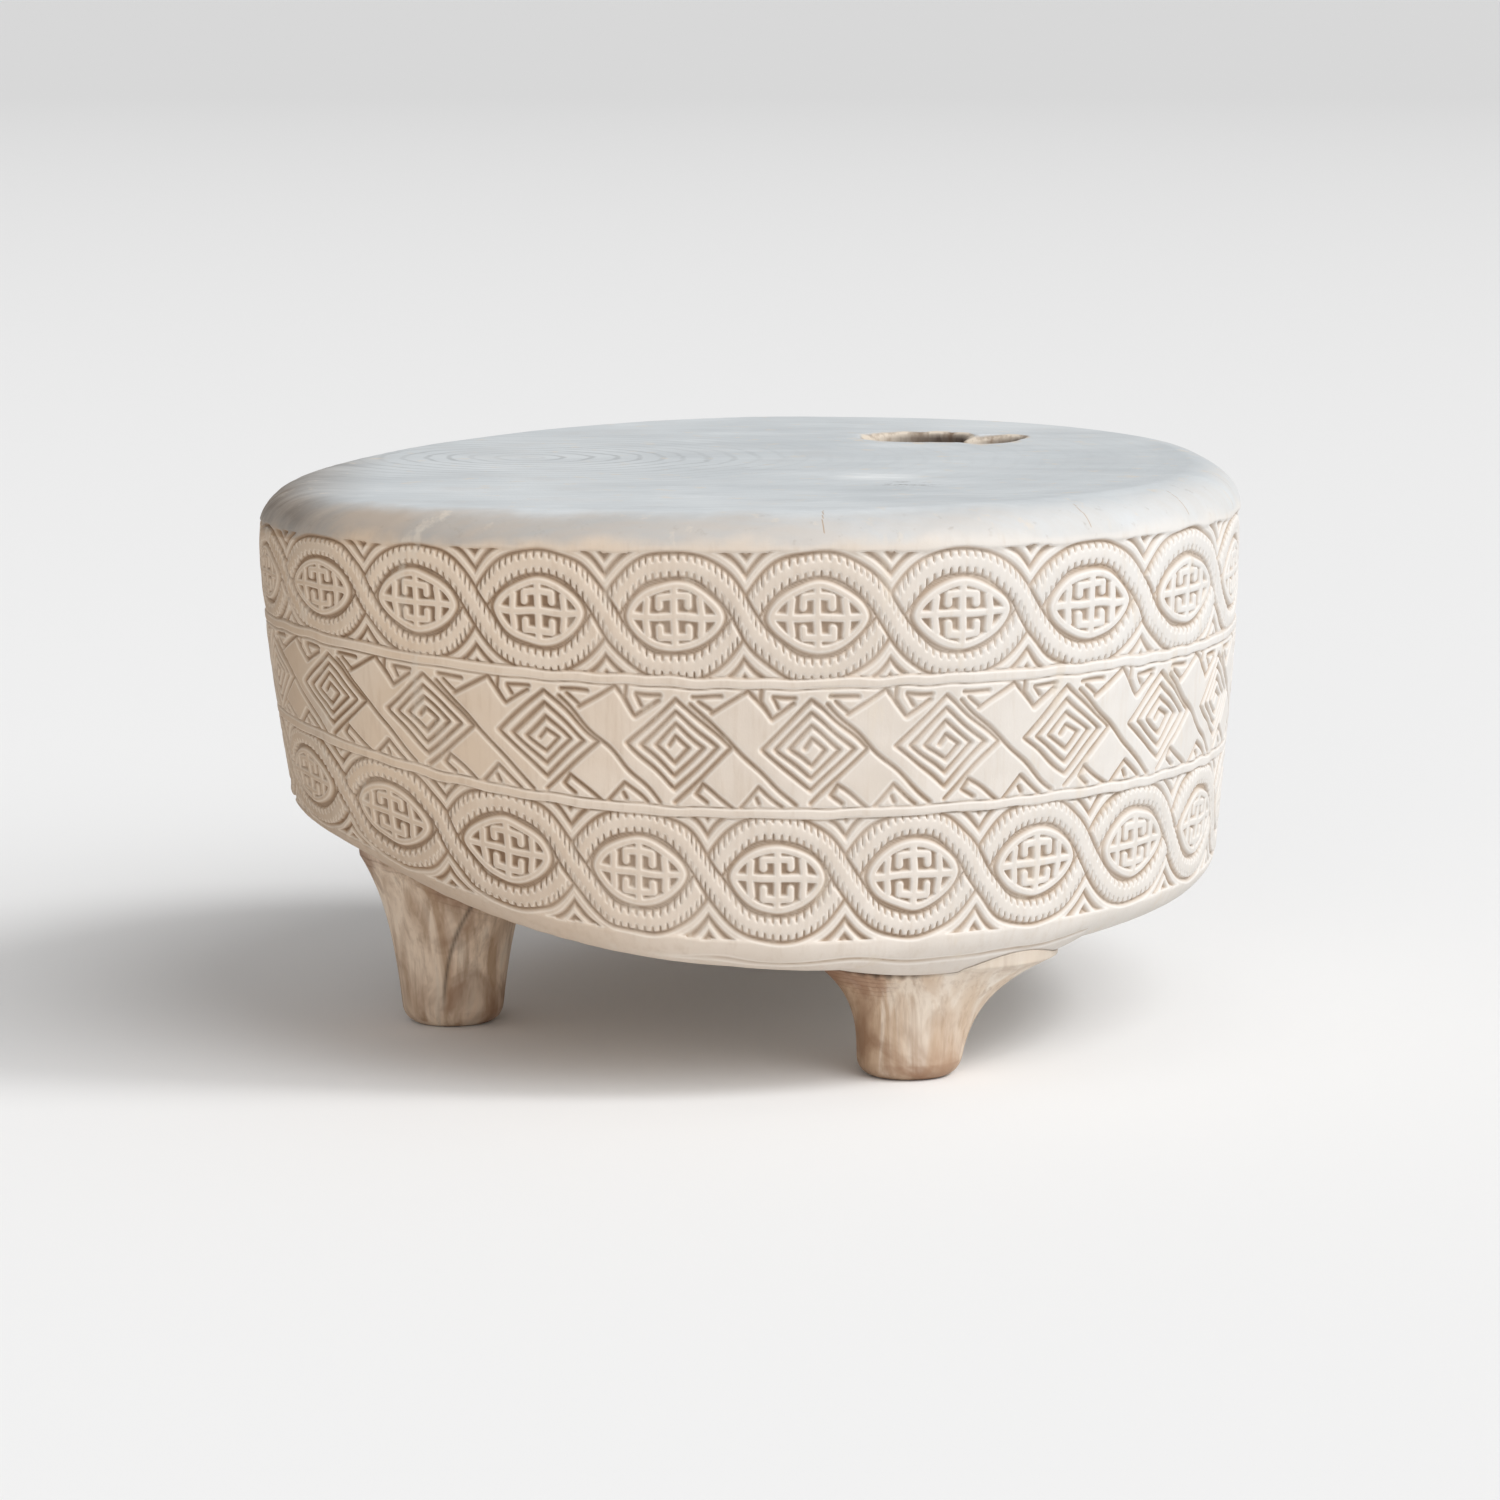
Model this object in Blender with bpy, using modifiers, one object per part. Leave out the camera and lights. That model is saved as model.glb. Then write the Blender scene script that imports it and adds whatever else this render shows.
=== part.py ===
"""A low round table: one thick slice of a tree trunk on three turned legs, each glued on over a dowel.

The slice keeps the trunk's uneven outline. Its top is flat with a broad rounded edge, its wall is the
plain band that the relief is carved in, and its underside rises towards the left, where the wall
curves under. A natural hollow opens in the top. Metres, +Z up, -Y is the front. The origin is on the
floor, under the middle of the slice's bounding box.
"""

import math

import bmesh
import bpy

# Driving dimensions.
HEIGHT = 0.427
WIDTH = 0.746
DEPTH = 0.800
UNDERSIDE = 0.092
GAP = 0.0003

# Where the outline is furthest out: the front and back points' x, and the left and right points' y.
FRONT_X = -0.026
BACK_X = 0.024
LEFT_Y = -0.157
RIGHT_Y = -0.002
# How full each quarter of the outline is: 2 is an ellipse, more is squarer.
FULLNESS = {
    ("front", "right"): 2.06,
    ("back", "right"): 2.37,
    ("back", "left"): 1.76,
    ("front", "left"): 2.43,
}

# The rounded top edge, which is deeper at the left and the right.
TOP_EDGE_IN = 0.041
TOP_EDGE_DOWN = 0.0255
TOP_EDGE_DOWN_SIDES = 0.006
# The wall leans in towards its foot, and a little more at the left.
WALL_FOOT = 0.118
WALL_TAPER = 0.016
WALL_TAPER_LEFT = 0.0075
WALL_BEND = 1.5
# The rounded lower edge at the front, and how far it reaches further in at the left and the right.
LOWER_EDGE_IN = 0.026
LOWER_EDGE_LEFT = 0.061
LOWER_EDGE_RIGHT = 0.008
# The wall's foot and the underside are higher at the left, and a little at the right.
LEFT_DIRECTION = math.radians(195)
RIGHT_DIRECTION = math.radians(5)
FOOT_RISE_LEFT = 0.087
FOOT_RISE_RIGHT = 0.017
UNDERSIDE_SHARE_OF_RISE = 0.78

# Legs: where each stands, how far its head leans, how far it flares and at what height, and the share
# of that flare that it has towards the front and back.
LEGS = {
    "front": {"at": (0.110, -0.270), "lean": (0.014, 0.020), "flare": 0.041, "head": 0.083, "depth": 0.55},
    "left": {"at": (-0.236, -0.073), "lean": (0.0, 0.0), "flare": 0.016, "head": 0.124, "depth": 0.90},
    "back": {"at": (0.104, 0.262), "lean": (0.006, -0.012), "flare": 0.036, "head": 0.086, "depth": 0.60},
}
LEG_FLAT = 0.027
LEG_FOOT = 0.0385
LEG_FOOT_ROUNDING = 0.013
LEG_SWELL = 0.11
FLARE_BEND = 3.5
FLARE_MOST = 1.2
LEAN_BEND = 1.5
LEG_BLANK_ABOVE_SEAM = 0.030
BOSS_DROP = 0.011
BOSS_RADIUS = 0.115
BOSS_FADE = 6

DOWEL_RADIUS = 0.0125
DOWEL_LENGTH = 0.090
DOWEL_IN_LEG = 0.045
DOWEL_CHAMFER = 0.0015
BORE_END_SPACE = 0.002

# The natural hollow: a wide basin, and a narrower arm to its right.
HOLLOW_DEPTH = 0.100
HOLLOW_OUTLINE = [
    (0.080, 0.184),
    (0.087, 0.218),
    (0.106, 0.229),
    (0.136, 0.231),
    (0.162, 0.227),
    (0.178, 0.208),
    (0.195, 0.211),
    (0.217, 0.203),
    (0.209, 0.167),
    (0.193, 0.137),
    (0.174, 0.130),
    (0.160, 0.144),
    (0.138, 0.146),
    (0.113, 0.147),
    (0.094, 0.158),
]

# Mesh fineness.
BODY_STEPS = 96
LEG_STEPS = 36
DOWEL_STEPS = 24
TOP_EDGE_STEPS = 6
WALL_STEPS = 5
LOWER_EDGE_STEPS = 6
UNDERSIDE_RINGS = (0.90, 0.80, 0.70, 0.60, 0.48, 0.34, 0.18)
LEG_RINGS = 14
CUT_OVERSHOOT = 0.01


def clear_scene():
    for old in list(bpy.data.objects):
        bpy.data.objects.remove(old, do_unlink=True)


def new_collection(name):
    collection = bpy.data.collections.new(name)
    bpy.context.scene.collection.children.link(collection)
    return collection


def wood(name, colour, roughness):
    material = bpy.data.materials.new(name)
    material.use_nodes = True
    shader = material.node_tree.nodes["Principled BSDF"]
    shader.inputs["Base Color"].default_value = (*colour, 1.0)
    shader.inputs["Roughness"].default_value = roughness
    shader.inputs["Metallic"].default_value = 0.0
    return material


def facing(angle, direction):
    """1 where the outline faces the direction, falling to 0 a quarter turn away."""
    return max(0.0, math.cos(angle - direction)) ** 2


def outline(angle):
    """The slice's widest outline, as a point for each direction angle."""
    cosine = math.cos(angle)
    sine = math.sin(angle)
    depth_side = "back" if sine > 0 else "front"
    width_side = "right" if cosine > 0 else "left"
    power = 2.0 / FULLNESS[(depth_side, width_side)]
    end_x = WIDTH / 2 if cosine > 0 else -WIDTH / 2
    end_y = RIGHT_Y if cosine > 0 else LEFT_Y
    start_x = BACK_X if sine > 0 else FRONT_X
    start_y = DEPTH / 2 if sine > 0 else -DEPTH / 2
    x = start_x + (end_x - start_x) * abs(cosine) ** power
    y = end_y + (start_y - end_y) * abs(sine) ** power
    return x, y


def rise(angle):
    """How far the wall's foot lies above its height at the front."""
    left = FOOT_RISE_LEFT * facing(angle, LEFT_DIRECTION)
    return left + FOOT_RISE_RIGHT * facing(angle, RIGHT_DIRECTION)


def taper(angle):
    """How far the wall leans in over its height."""
    return WALL_TAPER + WALL_TAPER_LEFT * facing(angle, LEFT_DIRECTION)


def lower_edge_in(angle):
    """How far the rounded lower edge reaches in."""
    left = LOWER_EDGE_LEFT * facing(angle, LEFT_DIRECTION)
    return LOWER_EDGE_IN + left + LOWER_EDGE_RIGHT * facing(angle, RIGHT_DIRECTION)


def boss_drop(x, y):
    """How far the bosses that the legs stand on hang below the underside at this point."""
    drop = 0.0
    for leg in LEGS.values():
        away = math.dist((x, y), (leg["at"][0] + leg["lean"][0], leg["at"][1] + leg["lean"][1]))
        if away < BOSS_RADIUS:
            drop = max(drop, BOSS_DROP * (1 - (away / BOSS_RADIUS) ** 4))
    return drop


def body_stations():
    """The slice's section from the top's flat edge, over the wall, to the middle of the underside."""
    stations = []
    for step in range(TOP_EDGE_STEPS + 1):
        turn = math.pi / 2 * step / TOP_EDGE_STEPS
        stations.append(("top edge", turn))
    for step in range(1, WALL_STEPS + 1):
        stations.append(("wall", step / WALL_STEPS))
    for step in range(1, LOWER_EDGE_STEPS + 1):
        turn = math.pi / 2 * step / LOWER_EDGE_STEPS
        stations.append(("lower edge", turn))
    for share in UNDERSIDE_RINGS:
        stations.append(("underside", share))
    return stations


def body_point(angle, station):
    """Where the section's station lies at this direction."""
    kind, value = station
    x, y = outline(angle)
    top_edge_down = TOP_EDGE_DOWN + TOP_EDGE_DOWN_SIDES * math.cos(angle) ** 2
    wall_top = HEIGHT - top_edge_down
    wall_foot = WALL_FOOT + rise(angle)
    underside = UNDERSIDE + UNDERSIDE_SHARE_OF_RISE * rise(angle)
    shrink = 1.0
    if kind == "top edge":
        inset = TOP_EDGE_IN * (1 - math.sin(value))
        z = HEIGHT - top_edge_down * (1 - math.cos(value))
    elif kind == "wall":
        inset = taper(angle) * value**WALL_BEND
        z = wall_top + (wall_foot - wall_top) * value
    elif kind == "lower edge":
        inset = taper(angle) + lower_edge_in(angle) * (1 - math.cos(value))
        z = wall_foot + (underside - wall_foot) * math.sin(value)
    else:
        inset = taper(angle) + lower_edge_in(angle)
        shrink = value
        z = UNDERSIDE + (underside - UNDERSIDE) * value**2
    reach = math.hypot(x, y)
    scale = shrink * (reach - inset) / reach
    x, y = x * scale, y * scale
    if kind == "lower edge":
        z -= boss_drop(x, y) * math.sin(value) ** BOSS_FADE
    elif kind == "underside":
        z -= boss_drop(x, y)
    return x, y, z


def underside_height(x, y):
    """The underside's height over a point of the floor, between its middle and its rounded edge."""
    angle = math.atan2(y, x)
    edge = body_point(angle, ("underside", 1.0))
    share = math.hypot(x, y) / math.hypot(edge[0], edge[1])
    return body_point(angle, ("underside", share))[2]


def turned_blank(stations, steps):
    """A tube turned about Z, of radius 1, with one ring for each station at z = the station's number."""
    blank = bmesh.new()
    points = [blank.verts.new((1.0, 0.0, number)) for number in range(stations)]
    line = [blank.edges.new(pair) for pair in zip(points[1:], points[:-1])]
    bmesh.ops.spin(
        blank,
        geom=points + line,
        cent=(0, 0, 0),
        axis=(0, 0, 1),
        angle=math.tau,
        steps=steps,
        use_merge=True,
    )
    bmesh.ops.remove_doubles(blank, verts=blank.verts, dist=1e-4)
    return blank


def close_ends(blank, fan_at=None):
    """Fills a blank's two open rings, the last one with a fan that meets at height fan_at if it's given."""
    rims = [edge for edge in blank.edges if edge.is_boundary]
    last = max(edge.verts[0].co.z for edge in rims)
    first_rim = [edge for edge in rims if edge.verts[0].co.z < last - 0.5]
    last_rim = [edge for edge in rims if edge.verts[0].co.z > last - 0.5]
    bmesh.ops.edgeloop_fill(blank, edges=first_rim)
    filled = bmesh.ops.edgeloop_fill(blank, edges=last_rim)["faces"]
    if fan_at is not None:
        middle = bmesh.ops.poke(blank, faces=filled)["verts"][0]
        middle.co = (0, 0, fan_at)


def finished(blank, name, material, collection, smooth_angle=35):
    """The blank as a named object, shaded smooth across its gentle edges."""
    bmesh.ops.recalc_face_normals(blank, faces=blank.faces)
    if blank.calc_volume(signed=True) < 0:
        bmesh.ops.reverse_faces(blank, faces=blank.faces)
    mesh = bpy.data.meshes.new(name)
    blank.to_mesh(mesh)
    blank.free()
    mesh.shade_smooth()
    mesh.set_sharp_from_angle(angle=math.radians(smooth_angle))
    shape = bpy.data.objects.new(name, mesh)
    if material is not None:
        mesh.materials.append(material)
    collection.objects.link(shape)
    return shape


def as_cutter(shape):
    shape.hide_render = True
    shape.display_type = "WIRE"
    return shape


def cut(shape, cutter):
    boolean = shape.modifiers.new("cut " + cutter.name, "BOOLEAN")
    boolean.operation = "DIFFERENCE"
    boolean.object = cutter


def make_body(name, material, collection, lowered=0.0):
    """The slice, or a copy of it that is lowered, which cuts the legs' heads to fit the underside."""
    stations = body_stations()
    blank = turned_blank(len(stations), BODY_STEPS)
    middle = len(stations)
    close_ends(blank, fan_at=middle)
    for vertex in blank.verts:
        number = round(vertex.co.z)
        if number == middle:
            vertex.co = (0, 0, UNDERSIDE - lowered)
            continue
        angle = math.atan2(vertex.co.y, vertex.co.x)
        x, y, z = body_point(angle, stations[number])
        vertex.co = (x, y, z - lowered)
    # Flat faces, so that the lowered copy's faces lie at the same gap from the slice's own everywhere.
    bmesh.ops.triangulate(blank, faces=blank.faces)
    return finished(blank, name, material, collection)


def leg_radius(height, leg, angle):
    """A leg's radius at a height: a rounded foot, a slow swell, then a head flaring out."""
    rounding = min(1.0, height / LEG_FOOT_ROUNDING)
    foot = LEG_FLAT + (LEG_FOOT - LEG_FLAT) * math.sqrt(1 - (1 - rounding) ** 2)
    narrowing = 1 - (1 - leg["depth"]) * math.sin(angle) ** 2
    flare = leg["flare"] * min(FLARE_MOST, (height / leg["head"]) ** FLARE_BEND)
    return foot + LEG_SWELL * height + flare * narrowing


def make_leg(name, leg, material, collection):
    """A turned leg whose head leans a little. It is left long here, and the lowered slice cuts it off."""
    seam = underside_height(leg["at"][0], leg["at"][1])
    heights = [LEG_FOOT_ROUNDING * share for share in (0.0, 0.12, 0.35, 0.65, 1.0)]
    above = seam + LEG_BLANK_ABOVE_SEAM - heights[-1]
    heights += [heights[-1] + above * ring / LEG_RINGS for ring in range(1, LEG_RINGS + 1)]
    blank = turned_blank(len(heights), LEG_STEPS)
    close_ends(blank)
    for vertex in blank.verts:
        height = heights[round(vertex.co.z)]
        angle = math.atan2(vertex.co.y, vertex.co.x)
        radius = leg_radius(height, leg, angle)
        lean = min(1.0, height / leg["head"]) ** LEAN_BEND
        x = leg["at"][0] + leg["lean"][0] * lean + radius * math.cos(angle)
        y = leg["at"][1] + leg["lean"][1] * lean + radius * math.sin(angle)
        vertex.co = (x, y, height)
    return finished(blank, name, material, collection)


def make_round_bar(name, radius, length, at, bottom, material, collection):
    """An upright cylinder standing at this height."""
    bar = bmesh.new()
    bmesh.ops.create_cone(
        bar,
        cap_ends=True,
        segments=DOWEL_STEPS,
        radius1=radius,
        radius2=radius,
        depth=length,
    )
    shape = finished(bar, name, material, collection)
    shape.location = (at[0], at[1], bottom + length / 2)
    return shape


def make_dowel(name, at, bottom, material, collection):
    dowel = make_round_bar(name, DOWEL_RADIUS, DOWEL_LENGTH, at, bottom, material, collection)
    chamfer = dowel.modifiers.new("chamfered ends", "BEVEL")
    chamfer.width = DOWEL_CHAMFER
    chamfer.segments = 1
    chamfer.limit_method = "ANGLE"
    chamfer.angle_limit = math.radians(60)
    return dowel


def make_bore(name, at, dowel_bottom, collection):
    """The cutter of the dowel's bore, with a gap all round and a little space past each end."""
    length = DOWEL_LENGTH + 2 * BORE_END_SPACE
    bottom = dowel_bottom - BORE_END_SPACE
    return as_cutter(make_round_bar(name, DOWEL_RADIUS + GAP, length, at, bottom, None, collection))


def make_hollow_cutter(collection):
    """The natural hollow, as an upright prism with a smooth outline."""
    curve = bpy.data.curves.new("hollow_cutter", "CURVE")
    curve.dimensions = "2D"
    curve.fill_mode = "BOTH"
    curve.resolution_u = 4
    curve.extrude = (HOLLOW_DEPTH + CUT_OVERSHOOT) / 2
    spline = curve.splines.new("BEZIER")
    spline.bezier_points.add(len(HOLLOW_OUTLINE) - 1)
    for point, (x, y) in zip(spline.bezier_points, HOLLOW_OUTLINE):
        point.co = (x, y, 0)
        point.handle_left_type = "AUTO"
        point.handle_right_type = "AUTO"
    spline.use_cyclic_u = True
    outline_object = bpy.data.objects.new("hollow_outline", curve)
    outline_object.location = (0, 0, HEIGHT - HOLLOW_DEPTH / 2 + CUT_OVERSHOOT / 2)
    collection.objects.link(outline_object)
    bpy.context.view_layer.update()
    evaluated = outline_object.evaluated_get(bpy.context.evaluated_depsgraph_get())
    mesh = bpy.data.meshes.new_from_object(evaluated)
    solid = bmesh.new()
    solid.from_mesh(mesh)
    bmesh.ops.remove_doubles(solid, verts=solid.verts, dist=1e-5)
    bmesh.ops.recalc_face_normals(solid, faces=solid.faces)
    solid.to_mesh(mesh)
    solid.free()
    cutter = bpy.data.objects.new("hollow_cutter", mesh)
    cutter.matrix_world = outline_object.matrix_world
    collection.objects.link(cutter)
    bpy.data.objects.remove(outline_object)
    return as_cutter(cutter)


def main():
    clear_scene()
    parts = new_collection("carved_trunk_table")
    cutters = new_collection("cutters")
    pale_wood = wood("bleached_wood", (0.62, 0.52, 0.41), 0.75)
    leg_wood = wood("leg_wood", (0.50, 0.38, 0.27), 0.65)
    dowel_wood = wood("dowel_wood", (0.45, 0.30, 0.17), 0.60)

    body = make_body("body", pale_wood, parts)
    cut(body, make_hollow_cutter(cutters))
    underside_cutter = as_cutter(make_body("underside_cutter", None, cutters, lowered=GAP))
    for place, leg in LEGS.items():
        leg_solid = make_leg("leg_" + place, leg, leg_wood, parts)
        dowel_bottom = underside_height(leg["at"][0], leg["at"][1]) - DOWEL_IN_LEG
        make_dowel("dowel_" + place, leg["at"], dowel_bottom, dowel_wood, parts)
        bore = make_bore("bore_cutter_" + place, leg["at"], dowel_bottom, cutters)
        cut(leg_solid, underside_cutter)
        cut(leg_solid, bore)
        cut(body, bore)


main()
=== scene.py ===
"""The visual model of a low carved table: one thick slice of a tree trunk on three turned legs.

The slice's wall carries three rows of shallow relief, cut into a mesh that is fine enough to hold it: two
rows of crossing ribbons round lens-shaped medallions, and between them a row of square spirals. The
shapes repeat the CAD model's formulas, with its overall sizes read from the frame. Metres, +Z up, -Y is
the front.
"""

import math

import bpy
import numpy as np
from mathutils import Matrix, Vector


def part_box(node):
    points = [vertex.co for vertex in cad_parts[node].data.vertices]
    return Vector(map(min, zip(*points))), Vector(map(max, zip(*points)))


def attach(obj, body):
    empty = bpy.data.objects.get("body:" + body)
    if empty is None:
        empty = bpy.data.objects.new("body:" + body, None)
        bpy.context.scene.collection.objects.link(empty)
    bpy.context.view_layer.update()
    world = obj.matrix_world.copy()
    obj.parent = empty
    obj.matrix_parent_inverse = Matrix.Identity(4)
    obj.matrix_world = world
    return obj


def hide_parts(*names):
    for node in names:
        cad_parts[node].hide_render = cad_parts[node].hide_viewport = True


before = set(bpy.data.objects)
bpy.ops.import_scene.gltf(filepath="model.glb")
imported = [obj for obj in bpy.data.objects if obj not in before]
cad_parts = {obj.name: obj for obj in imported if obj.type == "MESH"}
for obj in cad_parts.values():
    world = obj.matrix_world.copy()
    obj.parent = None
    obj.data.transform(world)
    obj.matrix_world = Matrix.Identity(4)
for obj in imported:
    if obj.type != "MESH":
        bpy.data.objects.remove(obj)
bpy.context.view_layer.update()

# Overall sizes, from the CAD model.
BODY_LOW, BODY_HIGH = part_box("body")
WIDTH = BODY_HIGH[0] - BODY_LOW[0]
DEPTH = BODY_HIGH[1] - BODY_LOW[1]
HEIGHT = BODY_HIGH[2]
UNDERSIDE = 0.092
GAP = 0.0003

# Where the outline is furthest out, and how full each quarter of it is.
FRONT_X = -0.026
BACK_X = 0.024
LEFT_Y = -0.157
RIGHT_Y = -0.002
FULL_FRONT_RIGHT = 2.06
FULL_BACK_RIGHT = 2.37
FULL_BACK_LEFT = 1.76
FULL_FRONT_LEFT = 2.43

# The section: a rounded top edge, a wall that leans in, and a rounded lower edge.
TOP_EDGE_IN = 0.041
TOP_EDGE_DOWN = 0.0255
TOP_EDGE_DOWN_SIDES = 0.006
WALL_FOOT = 0.118
WALL_TAPER = 0.016
WALL_TAPER_LEFT = 0.0075
WALL_BEND = 1.5
LOWER_EDGE_IN = 0.026
LOWER_EDGE_LEFT = 0.061
LOWER_EDGE_RIGHT = 0.008
LEFT_DIRECTION = math.radians(195)
RIGHT_DIRECTION = math.radians(5)
FOOT_RISE_LEFT = 0.087
FOOT_RISE_RIGHT = 0.017
UNDERSIDE_SHARE_OF_RISE = 0.78

# Legs and the bosses that they stand under.
LEGS = {
    "front": {"at": (0.110, -0.270), "lean": (0.014, 0.020), "flare": 0.041, "head": 0.083, "depth": 0.55},
    "left": {"at": (-0.236, -0.073), "lean": (0.0, 0.0), "flare": 0.016, "head": 0.124, "depth": 0.90},
    "back": {"at": (0.104, 0.262), "lean": (0.006, -0.012), "flare": 0.036, "head": 0.086, "depth": 0.60},
}
LEG_FLAT = 0.027
LEG_FOOT = 0.0385
LEG_FOOT_ROUNDING = 0.013
LEG_SWELL = 0.11
FLARE_BEND = 3.5
FLARE_MOST = 1.2
LEAN_BEND = 1.5
BOSS_DROP = 0.011
BOSS_RADIUS = 0.115
BOSS_FADE = 6

# Where the front leg's seam gapes, and the left leg's crack.
SEAM_OPEN_AT = math.radians(240)
SEAM_OPEN_HALF = math.radians(32)
SEAM_CLOSED_AT = math.radians(-25)
CRACK_FOOT_ANGLE = math.radians(262)
CRACK_LEAN = math.radians(42)
CRACK_HALF = 0.0019
CRACK_DEPTH = 0.0011

# The natural hollow, seen from a point inside it.
HOLLOW_CENTRE = (0.150, 0.187)
HOLLOW_DEPTH = 0.098
HOLLOW_OUTLINE = [
    (0.080, 0.184),
    (0.087, 0.218),
    (0.106, 0.229),
    (0.136, 0.231),
    (0.162, 0.227),
    (0.178, 0.208),
    (0.195, 0.211),
    (0.217, 0.203),
    (0.209, 0.167),
    (0.193, 0.137),
    (0.174, 0.130),
    (0.160, 0.144),
    (0.138, 0.146),
    (0.113, 0.147),
    (0.094, 0.158),
]

# Its wall slopes at the left, and holds a ledge just under the lip where the arm branches off.
HOLLOW_SLOPE = math.radians(180)
HOLLOW_LEDGE = math.radians(38)
HOLLOW_LEDGE_HALF = math.radians(15)

# The carved rows. Their borders are distances down the section from the wall's top: evenly spaced at the
# front, and higher at the left, and a little at the right.
CARVING_LEFT = math.radians(190)
ROW_TALL = 0.095
FIRST_BORDER_UP_LEFT = 0.008
BORDER_UP_LEFT = 0.023
BORDER_UP_RIGHT = 0.005
# Each row's cells: how many there are, where the middle of one lies as a share of the way round, and how
# many cells they crowd together by towards the left.
ROW_CELLS = [
    {"count": 24, "middle": 0.73, "crowding": 0.80},
    {"count": 25, "middle": 0.73, "crowding": 0.55},
    {"count": 24, "middle": 0.76, "crowding": 0.30},
]

# The relief's grooves.
GROOVE_DEPTH = 0.0035
GROOVE_HALF = 0.0026
GROOVE_SHOULDER = 2.4
BORDER_RIDGE_HALF = 0.0040
BORDER_GROOVE_HALF = 0.0017
NOTHING_NEAR = 9.0
# How far the cuts stray and over what length, and how their depth varies.
STRAY = 0.0007
STRAY_SIZE = 0.045
CUT_STRENGTH = 0.88
CUT_STRENGTH_VARIES = 0.12
CUT_STRENGTH_SIZE = 0.06

# A ribbon cell, 104 mm long and 94 mm high, before it is stretched to its place.
RIBBON_CELL = 0.104
RIBBON_ROW_HALF = 0.047
RIBBON_SWING = 0.0395
RIBBON_FLAT = 0.065
RIBBON_HALF = 0.0090
RIBBON_GROOVE_SHARE = 0.9
TOOTH_PITCH = 0.0060
TOOTH_LENGTH = 0.0062
TOOTH_HALF = 0.0018
TOOTH_WIDE_AT_EDGE = 1.1
TOOTH_NARROWS_BY = 0.5
TOOTH_SHALLOWER = 0.04
RIBBON_DOME = 0.0008
CHEVRON_AT = 0.0080
TRIANGLE_AT = 0.0152
TRIANGLE_BASE_IN = 0.003
FIELD_MARGIN = 0.001
FIELD_SUNK = 0.0008
FIELD_SLOPE = 0.002
# The medallion: its half sizes and how full its corners are, and the raised bars in one of its four alike
# quarters. An upright bar splits both ways along the rim, and a hook turns inwards from it.
MEDALLION_WIDE = 0.0372
MEDALLION_HIGH = 0.0272
MEDALLION_FULL = 1.72
RIM_WIDTH = 0.0060
BAR_HALF = 0.0022
BAR_SLOPE = 0.0017
BARS = [
    [(0.0, 0.0), (0.0, 0.0240)],
    [(0.0, 0.0), (0.0360, 0.0)],
    [(0.0, 0.0150), (0.0105, 0.0142), (0.0105, 0.0074)],
    [(0.0205, 0.0), (0.0195, 0.0125)],
]

# A spiral cell, 98 mm long and 92 mm high.
SPIRAL_CELL = 0.0984
SPIRAL_ROW_HALF = 0.046
SPIRAL_HALF_WIDTH = 0.0415
SPIRAL_HALF_HEIGHT = 0.0370
SPIRAL_FIRST = 1.05
SPIRAL_STEP = 0.062
SPIRAL_CORNERS = 16
# The lines between two spirals, seen from the middle of the space between them.
BETWEEN_SPIRALS = [
    [(-0.038, 0.031), (0.038, -0.040)],
    [(-0.023, 0.024), (0.004, 0.041)],
    [(0.003, 0.043), (0.020, 0.021)],
    [(-0.036, 0.0365), (-0.016, 0.0365)],
    [(-0.032, 0.033), (-0.023, 0.026)],
    [(0.013, 0.042), (0.012, 0.033), (0.020, 0.021), (0.037, 0.033)],
    [(0.021, 0.0365), (0.038, 0.0365)],
    [(0.021, 0.0355), (0.025, 0.029)],
    [(-0.030, -0.026), (-0.008, -0.042)],
    [(-0.030, -0.026), (-0.035, -0.033), (-0.027, -0.039)],
    [(-0.002, -0.042), (0.011, -0.027), (0.028, -0.041)],
    [(0.010, -0.035), (0.012, -0.039)],
]

FLOOR_HALF = 70.0
# On the top: the rings' centre, a small cracked knot and a pale scuff near it.
HEART = (-0.175, 0.020, 0.0)
TOP_MARK = (0.112, -0.180, HEIGHT)
TOP_PALE_MARK = (0.090, -0.120, HEIGHT)

RIM_CRACKS = 22

# The crease above the front leg's boss.
CREASE_UP = 0.023
CREASE_WAVE = 0.0022
CREASE_HALF = 0.0042
CREASE_DEPTH = 0.0013
CREASE_REACH = 0.19
CREASE_FADE = 0.05

# The camera, at the photo's angle.
CAMERA_AT = (-0.0066, -4.3073, 0.8576)
CAMERA_PITCH = math.radians(8.6874)
CAMERA_LENS = 134.0

# Mesh fineness.
COLUMNS = 2240
CARVED_ROWS = 280
TOP_EDGE_ROWS = 20
LOWER_EDGE_ROWS = 24
CARVED_MARGIN = 0.006
CARVING_ABOVE_END = 0.004
EVEN_NEAR_ENDS = 0.012
LEAST_COLUMNS = 20
LEG_COLUMNS = 192
LEG_SIDE_ROWS = 84
# The hollow and the inner top have one point for every few of the wall's columns. Each part of the top has
# that step, the first and last share of the way from the hollow's lip to the edge, and how many rings.
COARSE_STEP = 8
LIP_SHARE = 1.03
TOP_RINGS = ((COARSE_STEP, 0.03, 0.30, 14), (4, 0.32, 0.72, 22), (2, 0.735, 0.93, 14), (1, 0.945, 0.99, 6))
# The rings of the underside that have half the points of the one before.
UNDERSIDE_COARSER_AT = (1, 3, 6, 18, 24)
# How far up over the rounded edge the wall's wood turns into the top's.
TOP_WOOD_REACH = 0.052


def facing(angle, direction):
    """1 where the outline faces the direction, falling to 0 a quarter turn away."""
    return np.maximum(0.0, np.cos(angle - direction)) ** 2


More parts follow.
